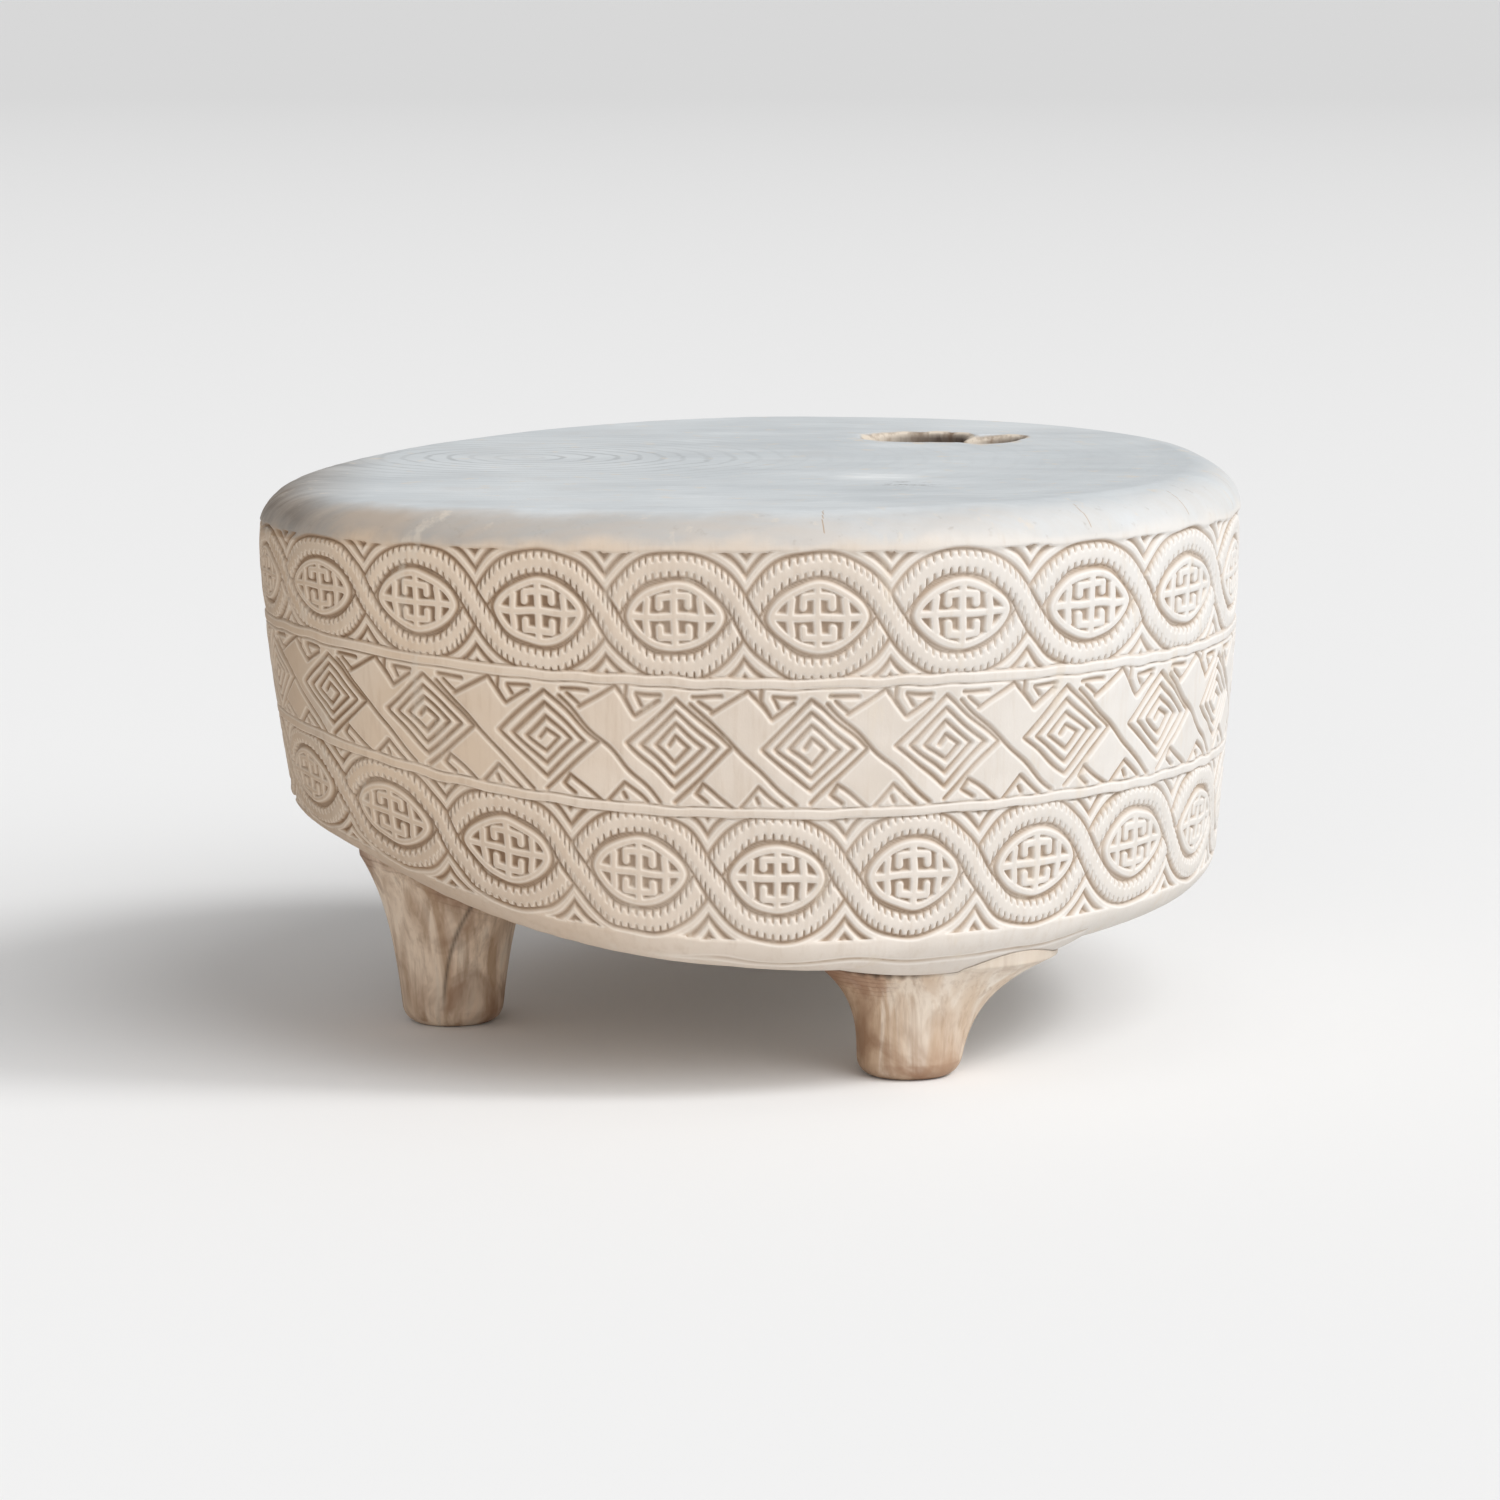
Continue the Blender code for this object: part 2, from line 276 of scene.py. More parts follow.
def outline(angle):
    """The slice's widest outline at these directions."""
    cosine = np.cos(angle)
    sine = np.sin(angle)
    right = cosine > 0
    back = sine > 0
    full_back = np.where(right, FULL_BACK_RIGHT, FULL_BACK_LEFT)
    full_front = np.where(right, FULL_FRONT_RIGHT, FULL_FRONT_LEFT)
    power = 2.0 / np.where(back, full_back, full_front)
    end_x = np.where(right, WIDTH / 2, -WIDTH / 2)
    end_y = np.where(right, RIGHT_Y, LEFT_Y)
    start_x = np.where(back, BACK_X, FRONT_X)
    start_y = np.where(back, DEPTH / 2, -DEPTH / 2)
    x = start_x + (end_x - start_x) * np.abs(cosine) ** power
    y = end_y + (start_y - end_y) * np.abs(sine) ** power
    return x, y


def rise(angle):
    """How much higher the wall's foot is than at the front."""
    left = FOOT_RISE_LEFT * facing(angle, LEFT_DIRECTION)
    return left + FOOT_RISE_RIGHT * facing(angle, RIGHT_DIRECTION)


def taper(angle):
    """How far the wall leans in at its foot."""
    return WALL_TAPER + WALL_TAPER_LEFT * facing(angle, LEFT_DIRECTION)


def lower_edge_in(angle):
    """How far the rounded lower edge reaches in from the wall's foot."""
    left = LOWER_EDGE_LEFT * facing(angle, LEFT_DIRECTION)
    return LOWER_EDGE_IN + left + LOWER_EDGE_RIGHT * facing(angle, RIGHT_DIRECTION)


def boss_drop(x, y):
    """How far the bosses over the legs hang below the underside."""
    drop = np.zeros_like(x)
    for leg in LEGS.values():
        away = np.hypot(x - leg["at"][0] - leg["lean"][0], y - leg["at"][1] - leg["lean"][1])
        drop = np.maximum(drop, BOSS_DROP * (1 - (away / BOSS_RADIUS) ** 4))
    return drop


def pulled_in(angle, inset, share=1.0):
    """The outline's points moved towards the middle by the inset, then scaled by the share."""
    x, y = outline(angle)
    reach = np.hypot(x, y)
    scale = share * (reach - inset) / reach
    return x * scale, y * scale


def section(angle, steps=48):
    """Points down the slice's section from the top's flat edge to the underside's, one column for each
    direction, with their distance down the section from the wall's top."""
    turn = np.linspace(0, math.pi / 2, steps)[:, None]
    down_wall = np.linspace(0, 1, steps)[1:, None]
    edge_down = TOP_EDGE_DOWN + TOP_EDGE_DOWN_SIDES * np.cos(angle) ** 2
    wall_top = HEIGHT - edge_down
    wall_foot = WALL_FOOT + rise(angle)
    underside = UNDERSIDE + UNDERSIDE_SHARE_OF_RISE * rise(angle)

    x, y = pulled_in(angle, TOP_EDGE_IN * (1 - np.sin(turn)))
    top_edge = np.stack([x, y, HEIGHT - edge_down * (1 - np.cos(turn))], axis=-1)
    x, y = pulled_in(angle, taper(angle) * down_wall**WALL_BEND)
    wall = np.stack([x, y, wall_top + (wall_foot - wall_top) * down_wall], axis=-1)
    x, y = pulled_in(angle, taper(angle) + lower_edge_in(angle) * (1 - np.cos(turn[1:])))
    z = wall_foot + (underside - wall_foot) * np.sin(turn[1:])
    z = z - boss_drop(x, y) * np.sin(turn[1:]) ** BOSS_FADE
    lower_edge = np.stack([x, y, z], axis=-1)

    points = np.concatenate([top_edge, wall, lower_edge])
    gaps = np.linalg.norm(np.diff(points, axis=0), axis=-1)
    distance = np.concatenate([np.zeros((1, len(angle))), np.cumsum(gaps, axis=0)])
    return points, distance - distance[steps - 1]


def outline_angle(x, y):
    """The outline's direction value for points at any distance from the middle."""
    values = np.linspace(-math.pi, math.pi, 4001)
    edge_x, edge_y = outline(values)
    bearing = np.unwrap(np.arctan2(edge_y, edge_x))
    return np.interp(np.arctan2(y, x), bearing, values, period=math.tau)


def underside_height(x, y):
    """The height of the slice's lower surface over points of the floor, its rounded lower edge included."""
    angle = outline_angle(x, y)
    wall_foot = WALL_FOOT + rise(angle)
    underside = UNDERSIDE + UNDERSIDE_SHARE_OF_RISE * rise(angle)
    edge_x, edge_y = outline(angle)
    edge_reach = np.hypot(edge_x, edge_y) - taper(angle)
    edge_in = lower_edge_in(angle)
    reach = np.hypot(x, y)
    share = np.minimum(1.0, reach / (edge_reach - edge_in))
    cosine = np.clip(1 - (edge_reach - reach) / edge_in, 0.0, 1.0)
    sine = np.sqrt(1 - cosine**2)
    flat = UNDERSIDE + (underside - UNDERSIDE) * share**2 - boss_drop(x, y)
    rounded = wall_foot + (underside - wall_foot) * sine - boss_drop(x, y) * sine**BOSS_FADE
    return np.where(reach > edge_reach - edge_in, rounded, flat)


def outline_walk(columns):
    """The directions of points spaced evenly round the outline, and the outline's length."""
    angle = np.linspace(0, math.tau, 20001)
    x, y = outline(angle)
    walked = np.concatenate([[0.0], np.cumsum(np.hypot(np.diff(x), np.diff(y)))])
    wanted = walked[-1] * np.arange(columns) / columns
    return np.interp(wanted, walked, angle), wanted, walked[-1]


def ripple(along, down, around, seed, size, waves=14):
    """Smooth random values of about -1 to 1 that join up round the outline."""
    random = np.random.default_rng(seed)
    total = np.zeros(np.broadcast(along, down).shape)
    for _ in range(waves):
        direction = random.uniform(0, math.pi)
        turns = max(1, round(around / size * abs(math.cos(direction)) * random.uniform(0.6, 1.4)))
        drop = math.tau / size * math.sin(direction) * random.uniform(0.6, 1.4)
        phase = random.uniform(0, math.tau)
        total += np.sin(math.tau * turns * along / around + drop * down + phase)
    return total / math.sqrt(waves) * 0.9


def to_segment(x, y, start, end):
    """The distance from each point to a straight line between two ends."""
    ax, ay = start
    bx, by = end[0] - ax, end[1] - ay
    share = np.clip(((x - ax) * bx + (y - ay) * by) / (bx * bx + by * by), 0.0, 1.0)
    return np.hypot(x - ax - share * bx, y - ay - share * by)


def to_lines(x, y, lines):
    """The distance from each point to the nearest of several bent lines."""
    nearest = np.full(x.shape, NOTHING_NEAR)
    for line in lines:
        for start, end in zip(line[:-1], line[1:]):
            nearest = np.minimum(nearest, to_segment(x, y, start, end))
    return nearest


def ribbon_wave(x):
    """The upper ribbon's centre line and its slope: rounder at the top than a plain wave."""
    turn = math.pi * x / RIBBON_CELL
    height = RIBBON_SWING * (np.cos(turn) - RIBBON_FLAT * np.cos(3 * turn))
    slope = -RIBBON_SWING * math.pi / RIBBON_CELL * (np.sin(turn) - 3 * RIBBON_FLAT * np.sin(3 * turn))
    return height, slope


def ribbon_walk(x):
    """How far along a ribbon each place lies, from the cell's middle, stretched to a whole number of
    teeth."""
    places = np.linspace(-RIBBON_CELL / 2, RIBBON_CELL / 2, 400)
    step = np.hypot(1.0, ribbon_wave(places)[1]) * (places[1] - places[0])
    walked = np.cumsum(step) - step.sum() / 2
    teeth = round(step.sum() / TOOTH_PITCH)
    return np.interp(x, places, walked) * (teeth * TOOTH_PITCH / step.sum())


def medallion(x, y):
    """Nearness of grooves in the lens-shaped medallion between two crossings, the same in each quarter."""
    x, y = np.abs(x), np.abs(y)
    wide, high, full = MEDALLION_WIDE, MEDALLION_HIGH, MEDALLION_FULL
    size = ((x / wide) ** full + (y / high) ** full + 1e-9) ** (1 / full)
    steepness = size ** (1 - full) * np.hypot(x ** (full - 1) / wide**full, y ** (full - 1) / high**full)
    inside = (1 - size) / np.maximum(steepness, 1e-3)
    outline_groove = np.abs(inside) / GROOVE_HALF
    to_bar = np.minimum(np.abs(inside - RIM_WIDTH / 2 - GROOVE_HALF / 2), to_lines(x, y, BARS))
    ground = 1 - (to_bar - BAR_HALF) / BAR_SLOPE
    ground = np.where(inside > RIM_WIDTH / 2, np.maximum(ground, 0.0), NOTHING_NEAR)
    return np.minimum(outline_groove, ground)


def notches(inside, tooth):
    """Nearness of the teeth cut in from a ribbon's edge, which get narrower towards their ends."""
    width = TOOTH_HALF * (TOOTH_WIDE_AT_EDGE - TOOTH_NARROWS_BY * inside / TOOTH_LENGTH)
    past_end = np.maximum(0.0, inside - TOOTH_LENGTH + TOOTH_HALF)
    return TOOTH_SHALLOWER + np.hypot(tooth / np.maximum(width, 1e-4), past_end / TOOTH_HALF)


def ribbon_field(closest, from_middle):
    """Nearness and sinking of the chevrons and triangles between the ribbons and the row's borders."""
    lines = np.minimum(np.abs(closest - CHEVRON_AT), np.abs(closest - TRIANGLE_AT))
    base = np.abs(from_middle - RIBBON_ROW_HALF + TRIANGLE_BASE_IN)
    lines = np.minimum(lines, np.where(closest > TRIANGLE_AT, base, NOTHING_NEAR))
    near = np.where(from_middle < RIBBON_ROW_HALF - FIELD_MARGIN, lines / GROOVE_HALF, NOTHING_NEAR)
    to_border = np.clip((RIBBON_ROW_HALF - from_middle) / TRIANGLE_BASE_IN, 0.0, 1.0)
    sunk = RIBBON_DOME + FIELD_SUNK * np.clip(closest / FIELD_SLOPE, 0.0, 1.0)
    return near, sunk * to_border


def ribbon_row(x, y):
    """Grooves of a ribbon cell: nearness of the closest groove (under 1 is inside it), and how far the
    ground is sunk. Two ribbons cross at the cell's ends, and the one that falls to the right is on top."""
    wave, slope = ribbon_wave(x)
    lean = np.hypot(1.0, slope)
    upper = (y - wave) / lean
    lower = (y + wave) / lean
    near = np.full(x.shape, NOTHING_NEAR)
    sunk = np.zeros(x.shape)
    tooth = np.abs((ribbon_walk(x) / TOOTH_PITCH) % 1.0 - 0.5) * TOOTH_PITCH
    for own, other, own_on_top in ((upper, lower, x > 0), (lower, upper, x < 0)):
        shown = own_on_top | (np.abs(other) > RIBBON_HALF)
        inside = RIBBON_HALF - np.abs(own)
        edge = np.abs(inside) / (GROOVE_HALF * RIBBON_GROOVE_SHARE)
        near = np.where(shown, np.minimum(near, edge), near)
        on_ribbon = shown & (inside > 0)
        near = np.where(on_ribbon, np.minimum(near, notches(inside, tooth)), near)
        sunk = np.where(on_ribbon, RIBBON_DOME * (own / RIBBON_HALF) ** 2, sunk)

    closest = np.minimum(np.abs(upper), np.abs(lower)) - RIBBON_HALF
    between = (upper * lower < 0) & (closest > -GROOVE_HALF)
    near = np.where(between, np.minimum(near, medallion(x, y)), near)
    outside = (upper * lower > 0) & (closest > 0)
    field_near, field_sunk = ribbon_field(closest, np.abs(y))
    near = np.where(outside, np.minimum(near, field_near), near)
    return near, np.where(outside, field_sunk, sunk)


def spiral_lines():
    """The square spiral as one bent line from its outer end at the bottom to its middle."""
    line = []
    for corner in range(SPIRAL_CORNERS):
        reach = SPIRAL_FIRST - SPIRAL_STEP * corner
        turn = math.pi / 2 * (corner - 1)
        x = SPIRAL_HALF_WIDTH * reach * round(math.cos(turn))
        y = SPIRAL_HALF_HEIGHT * reach * round(math.sin(turn))
        line.append((x, y))
    return [line]


def spiral_row(x, y):
    """Grooves of a spiral cell, and of the spaces at its two ends."""
    near = to_lines(x, y, spiral_lines())
    between_x = np.where(x > 0, x - SPIRAL_CELL / 2, x + SPIRAL_CELL / 2)
    near = np.minimum(near, to_lines(between_x, y, BETWEEN_SPIRALS))
    return near / GROOVE_HALF, np.zeros_like(x)


def borders(angle):
    """The carved rows' borders at each direction, as distances down the section."""
    left = facing(angle, CARVING_LEFT)
    right = facing(angle, RIGHT_DIRECTION)
    down_each = ROW_TALL - BORDER_UP_LEFT * left - BORDER_UP_RIGHT * right
    return [number * down_each - FIRST_BORDER_UP_LEFT * left for number in range(len(ROW_CELLS) + 1)]


def cells_walked(spacing, share):
    """How many of a row's cells lie in this share of the way round."""
    return spacing["count"] * share - spacing["crowding"] * np.sin(math.tau * share)


def carving(angle, along, around, down):
    """How deep the relief is cut at each point of the wall, and the nearness of its grooves.
    The first axis of down goes down the wall, and the others hold one value for each column."""
    lines = borders(angle)
    stray_along = STRAY * ripple(along, down, around, seed=11, size=STRAY_SIZE)
    stray_down = STRAY * ripple(along, down, around, seed=12, size=STRAY_SIZE)
    near = np.full(down.shape, NOTHING_NEAR)
    sunk = np.zeros(down.shape)
    rows = (
        (ribbon_row, RIBBON_CELL, RIBBON_ROW_HALF),
        (spiral_row, SPIRAL_CELL, SPIRAL_ROW_HALF),
        (ribbon_row, RIBBON_CELL, RIBBON_ROW_HALF),
    )
    share = along / around
    for number, (cell_grooves, cell, half) in enumerate(rows):
        spacing = ROW_CELLS[number]
        count = cells_walked(spacing, share) - cells_walked(spacing, spacing["middle"])
        stretch = (spacing["count"] - spacing["crowding"] * math.tau * np.cos(math.tau * share)) / around
        top, bottom = lines[number], lines[number + 1]
        x = (count + stray_along * stretch + 0.5) % 1.0 - 0.5
        y = ((top + bottom) / 2 - down + stray_down) / (bottom - top) * 2 * half
        past_top = CARVED_MARGIN if number == 0 else 0.0
        past_bottom = CARVED_MARGIN if number == len(rows) - 1 else 0.0
        here = (y < half + past_top) & (y >= -half - past_bottom)
        x = np.broadcast_to(x * cell, y.shape)
        row_near, row_sunk = cell_grooves(x[here], y[here])
        near[here] = row_near
        sunk[here] = row_sunk
    for line in lines[1:-1]:
        from_line = np.abs(down - stray_down - line)
        near = np.where(from_line < BORDER_RIDGE_HALF, NOTHING_NEAR, near)
        edge = np.abs(from_line - BORDER_RIDGE_HALF) / BORDER_GROOVE_HALF
        near = np.minimum(near, 0.35 + edge)
        sunk = np.where(from_line < BORDER_RIDGE_HALF, 0.0, sunk)
    straight = np.clip(1 - near, 0.0, 1.0)
    rounded = np.clip(1 - near**2, 0.0, 1.0) ** 1.4
    shoulder = np.clip(1 - near / GROOVE_SHOULDER, 0.0, 1.0) ** 2
    varies = CUT_STRENGTH_VARIES * ripple(along, down, around, seed=13, size=CUT_STRENGTH_SIZE)
    profile = 0.35 * straight + 0.50 * rounded + 0.15 * shoulder
    depth = (CUT_STRENGTH + varies) * GROOVE_DEPTH * profile + sunk
    return depth, near


def inward(points):
    """Unit vectors into the solid at each point of a grid whose columns join up round the outline."""
    across = np.roll(points, -1, axis=1) - np.roll(points, 1, axis=1)
    down = np.gradient(points, axis=0)
    normal = np.cross(across, down)
    return normal / np.linalg.norm(normal, axis=-1, keepdims=True)


def hollow_reach(directions):
    """The hollow's outline as a distance from its centre at each direction."""
    offsets = np.array(HOLLOW_OUTLINE) - HOLLOW_CENTRE
    angles = np.arctan2(offsets[:, 1], offsets[:, 0])
    reaches = np.hypot(offsets[:, 0], offsets[:, 1])
    order = np.argsort(angles)
    angles, reaches = angles[order], reaches[order]
    angles = np.concatenate([angles - math.tau, angles, angles + math.tau])
    reaches = np.tile(reaches, 3)
    fine = np.linspace(-math.pi, math.pi, 721)
    straight = np.interp(fine, angles, reaches)[:-1]
    rounding = np.hanning(23)
    rounding /= rounding.sum()
    wrapped = np.concatenate([straight[-11:], straight, straight[:11]])
    smooth = np.convolve(wrapped, rounding, mode="valid")
    return np.interp(directions, fine, np.append(smooth, smooth[0]), period=math.tau)


class Shell:
    """A closed surface made of rings, from one pole to the other. Each ring has as many points as the one
    before it, half as many or twice as many."""

    def __init__(self):
        self.rings = []
        self.zones = []
        self.values = []

    def add(self, points, zone, **values):
        """The zone names the part of the surface between this ring and the next."""
        self.rings.append(np.asarray(points, float))
        self.zones.append(zone)
        self.values.append(values)

    def faces(self):
        """For each pair of rings: the corner numbers, and each corner's ring and place round it, 0 to 1."""
        starts = np.concatenate([[0], np.cumsum([len(ring) for ring in self.rings])])
        for k in range(len(self.rings) - 1):
            first, second = len(self.rings[k]), len(self.rings[k + 1])
            few = min(first, second)
            many = max(first, second)
            i = np.arange(many if few == 1 else few)
            if few == 1 and first == 1:
                corners = [(k, 0 * i, i + 0.5), (k + 1, i, i), (k + 1, i + 1, i + 1)]
            elif few == 1:
                corners = [(k, i, i), (k + 1, 0 * i, i + 0.5), (k, i + 1, i + 1)]
            elif first == second:
                corners = [(k, i, i), (k + 1, i, i), (k + 1, i + 1, i + 1), (k, i + 1, i + 1)]
            elif first < second:
                corners = [
                    (k, i, i),
                    (k + 1, 2 * i, i),
                    (k + 1, 2 * i + 1, i + 0.5),
                    (k + 1, 2 * i + 2, i + 1),
                    (k, i + 1, i + 1),
                ]
            else:
                corners = [
                    (k, 2 * i, i),
                    (k + 1, i, i),
                    (k + 1, i + 1, i + 1),
                    (k, 2 * i + 2, i + 1),
                    (k, 2 * i + 1, i + 0.5),
                ]
            numbers = [starts[ring] + index % len(self.rings[ring]) for ring, index, _ in corners]
            rings = [np.full(len(i), ring) for ring, _, _ in corners]
            places = [place / len(i) for _, _, place in corners]
            yield self.zones[k], np.stack(numbers, 1), np.stack(rings, 1), np.stack(places, 1)

    def build(self, name, uv_of, material):
        """The mesh object. uv_of gives a zone's texture coordinates from each corner's point, ring and
        place."""
        points = np.concatenate(self.rings)
        groups = list(self.faces())
        corner_numbers = np.concatenate([numbers.ravel() for _, numbers, _, _ in groups])
        sizes = np.concatenate([np.full(len(numbers), numbers.shape[1]) for _, numbers, _, _ in groups])
        mesh = bpy.data.meshes.new(name)
        mesh.vertices.add(len(points))
        mesh.vertices.foreach_set("co", points.astype(np.float32).ravel())
        mesh.loops.add(len(corner_numbers))
        mesh.loops.foreach_set("vertex_index", corner_numbers.astype(np.int32))
        mesh.polygons.add(len(sizes))
        begins = np.concatenate([[0], np.cumsum(sizes)[:-1]])
        mesh.polygons.foreach_set("loop_start", begins.astype(np.int32))
        mesh.update(calc_edges=True)
        coordinates = []
        for zone, numbers, rings, places in groups:
            coordinates.append(uv_of(zone, points[numbers], rings, places).reshape(-1, 2))
        uv = mesh.uv_layers.new(name="OFBake")
        uv.uv.foreach_set("vector", np.concatenate(coordinates).astype(np.float32).ravel())
        for key in self.values[0]:
            attribute = mesh.attributes.new(key, "FLOAT", "POINT")
            whole = [
                np.broadcast_to(values[key], (len(ring),)) for values, ring in zip(self.values, self.rings)
            ]
            attribute.data.foreach_set("value", np.concatenate(whole).astype(np.float32))
        mesh.shade_smooth()
        mesh.materials.append(material)
        shape = bpy.data.objects.new(name, mesh)
        bpy.context.scene.collection.objects.link(shape)
        return shape


def rim_cracks(near):
    """Thin drying cracks that run up over the rounded top edge, each one or two columns wide."""
    random = np.random.default_rng(51)
    for _ in range(RIM_CRACKS):
        column = int(random.integers(0, COLUMNS))
        first = int(TOP_EDGE_ROWS * random.uniform(0.15, 0.5))
        last = int(TOP_EDGE_ROWS * random.uniform(0.75, 1.0))
        for row in range(first, last):
            near[row, column % COLUMNS] = 0.0
            column += int(random.integers(-1, 2)) * (row % 3 == 0)
    return near


def unevenness(along, down, around):
    """Slow and quick waves left by the tools and by time, which always go inwards."""
    slow = 0.0005 * (1 + ripple(along, down, around, seed=21, size=0.16))
    quick = 0.00012 * (1 + ripple(along, down, around, seed=22, size=0.022))
    return np.maximum(slow + quick, 0.0)


def crease_over_leg(points, down, end, along, around):
    """The crease above the front leg's boss: 1 along its middle, and 0 outside it."""
    leg_x, leg_y = LEGS["front"]["at"]
    reach = np.clip((CREASE_REACH - np.abs(points[..., 0] - leg_x)) / CREASE_FADE, 0, 1)
    line = end - CREASE_UP + CREASE_WAVE * ripple(along, down, around, seed=23, size=0.07)
    across = np.clip(1 - np.abs(down - line) / CREASE_HALF, 0, 1)
    return across * (reach * (points[..., 1] < leg_y))


def wall_rows(distance, first, last):
    """The distances down the section of the wall's rings, which are closest together in the carving."""
    top_share = np.linspace(0, 1, TOP_EDGE_ROWS, endpoint=False)[:, None]
    carved_share = np.linspace(0, 1, CARVED_ROWS, endpoint=False)[:, None]
    lower_share = np.linspace(0, 1, LOWER_EDGE_ROWS)[:, None]
    return np.concatenate(
        [
            distance[0] + (first - distance[0]) * top_share,
            first + (last - first) * carved_share,
            last + (distance[-1] - last) * lower_share,
        ]
    )


def body_wall():
    """The slice's section rings with the relief cut in: points, nearness of grooves, and distances down."""
    angle, along, around = outline_walk(COLUMNS)
    profile, distance = section(angle)
    lines = borders(angle)
    first = lines[0] - CARVED_MARGIN
    last = np.minimum(lines[-1] + CARVED_MARGIN, distance[-1] - CARVING_ABOVE_END)
    down = wall_rows(distance, first, last)
    points = np.empty(down.shape + (3,))
    for column in range(COLUMNS):
        for axis in range(3):
            curve = profile[:, column, axis]
            points[:, column, axis] = np.interp(down[:, column], distance[:, column], curve)
    depth, near = carving(angle, along, around, down)
    fade_in = np.clip((down - first) / CARVED_MARGIN, 0, 1)
    fade = fade_in * np.clip((last - down) / CARVED_MARGIN, 0, 1)
    depth = depth * np.clip(fade * 2, 0, 1)
    near = rim_cracks(np.where(fade > 0, near, NOTHING_NEAR))
    crease = crease_over_leg(points, down, distance[-1], along, around)
    near = np.where(crease > 0, np.minimum(near, 1.5 - 1.25 * crease), near)
    uneven = unevenness(along, down, around)
    ends = np.clip(np.minimum(down - distance[0], distance[-1] - down) / EVEN_NEAR_ENDS, 0, 1)
    pushed_in = depth + (uneven + CREASE_DEPTH * crease**1.5) * ends
    return points + inward(points) * pushed_in[..., None], near, down


def body_uv(zone, points, down_share, places):
    """Five bands of wall in a grid of two by three, and the top, underside and hollow in the sixth."""
    if zone == "wall":
        number = np.minimum(4, np.floor(places.mean(axis=1, keepdims=True) * 5))
        across = places * 5 - number
        low = np.array([0.0, 0.5])[(number % 2).astype(int)]
        up = np.array([0.0, 0.34, 0.67])[(number // 2).astype(int)]
        return np.stack([low + 0.006 + 0.488 * across, up + 0.005 + 0.32 * (1 - down_share)], -1)
    flat_x = (points[..., 0] / WIDTH + 0.5) * 0.235
    flat_y = (points[..., 1] / DEPTH + 0.5) * 0.25
    if zone == "top":
        return np.stack([0.505 + flat_x, 0.675 + flat_y], -1)
    if zone == "under":
        return np.stack([0.755 + flat_x, 0.675 + flat_y], -1)
    depth = np.clip((HEIGHT - points[..., 2]) / HOLLOW_DEPTH, 0, 1)
    if zone == "hollow wall":
        return np.stack([0.505 + 0.38 * places, 0.935 + 0.06 * (1 - depth)], -1)
    near_x = (points[..., 0] - HOLLOW_CENTRE[0]) * 0.3
    near_y = (points[..., 1] - HOLLOW_CENTRE[1]) * 0.3
    return np.stack([0.94 + near_x, 0.965 + near_y], -1)


def add_hollow(shell, edge_ring):
    """The hollow's rings: from the middle of its floor, up its wall and over its lip."""
    centre = np.array(HOLLOW_CENTRE)
    offset = edge_ring[::COARSE_STEP, :2] - centre
    direction = np.arctan2(offset[:, 1], offset[:, 0])
    unit = offset / np.hypot(offset[:, 0], offset[:, 1])[:, None]
    reach = hollow_reach(direction)
    floor = HEIGHT - HOLLOW_DEPTH
    rough = np.random.default_rng(31).uniform(0, math.tau, 8)
    slope = np.maximum(0, np.cos(direction - HOLLOW_SLOPE)) ** 2
    ledge = np.exp(-(((direction - HOLLOW_LEDGE) / HOLLOW_LEDGE_HALF) ** 2))

    # dark sets the painted shade, which is strongest deep in the hollow and fades out over the lip.
    def add_ring(share, z, step=1, dark=1.0, zone="hollow wall", bumps=0.0):
        waves = (3, 4, 6, 7, 13, 19)
        wave = sum(np.sin(direction * n + rough[n % 8] + z * 90 * (n % 3)) for n in waves) / 5
        below = np.clip((HEIGHT - z) / 0.05, 0, 1)
        on_ledge = np.clip((HEIGHT - z - 0.002) / 0.004, 0, 1)
        leaning = 1 - 0.34 * slope * below - 0.42 * ledge * on_ledge
        radius = reach * share * leaning * (1 + bumps * wave)
        xy = centre + unit * radius[:, None]
        ring = np.column_stack([xy, np.full(len(xy), z)])
        # Painted highlight: the sloped side and the ledge near the lip are kept pale by taking painted shade
        # off.
        pale = np.clip(1.15 - below, 0, 1) * np.maximum(slope, ledge)
        shade = dark * (1 - 0.62 * pale)
        shell.add(ring[::step], zone, groove=0.0, top=(1.0 - shade)[::step], hollow=shade[::step])

    middle = [[centre[0], centre[1], floor + 0.004]]
    shell.add(middle, "hollow floor", groove=0.0, top=0.0, hollow=1.0)
    for share, lift, step in ((0.25, 0.003, 4), (0.5, 0.001, 2), (0.72, 0.0005, 1)):
        add_ring(share, floor + lift, step=step, zone="hollow floor", bumps=0.02)
    add_ring(0.88, floor + 0.001, bumps=0.03)
    rises = (0.03, 0.10, 0.2, 0.3, 0.4, 0.5, 0.6, 0.7, 0.78, 0.86, 0.91)
    for number, up in enumerate(rises):
        share = 0.93 + 0.05 * math.sin(up * 2.6) - 0.02 * (number % 2)
        add_ring(share, floor + HOLLOW_DEPTH * up, bumps=0.035 * (1 - up))
    add_ring(0.955, HEIGHT - 0.0055, dark=0.95, bumps=0.01)
    add_ring(0.975, HEIGHT - 0.0028, dark=0.75, bumps=0.01)
    add_ring(0.995, HEIGHT - 0.0012, dark=0.45, bumps=0.008)
    add_ring(LIP_SHARE, HEIGHT - 0.0004, dark=0.2, zone="top", bumps=0.006)


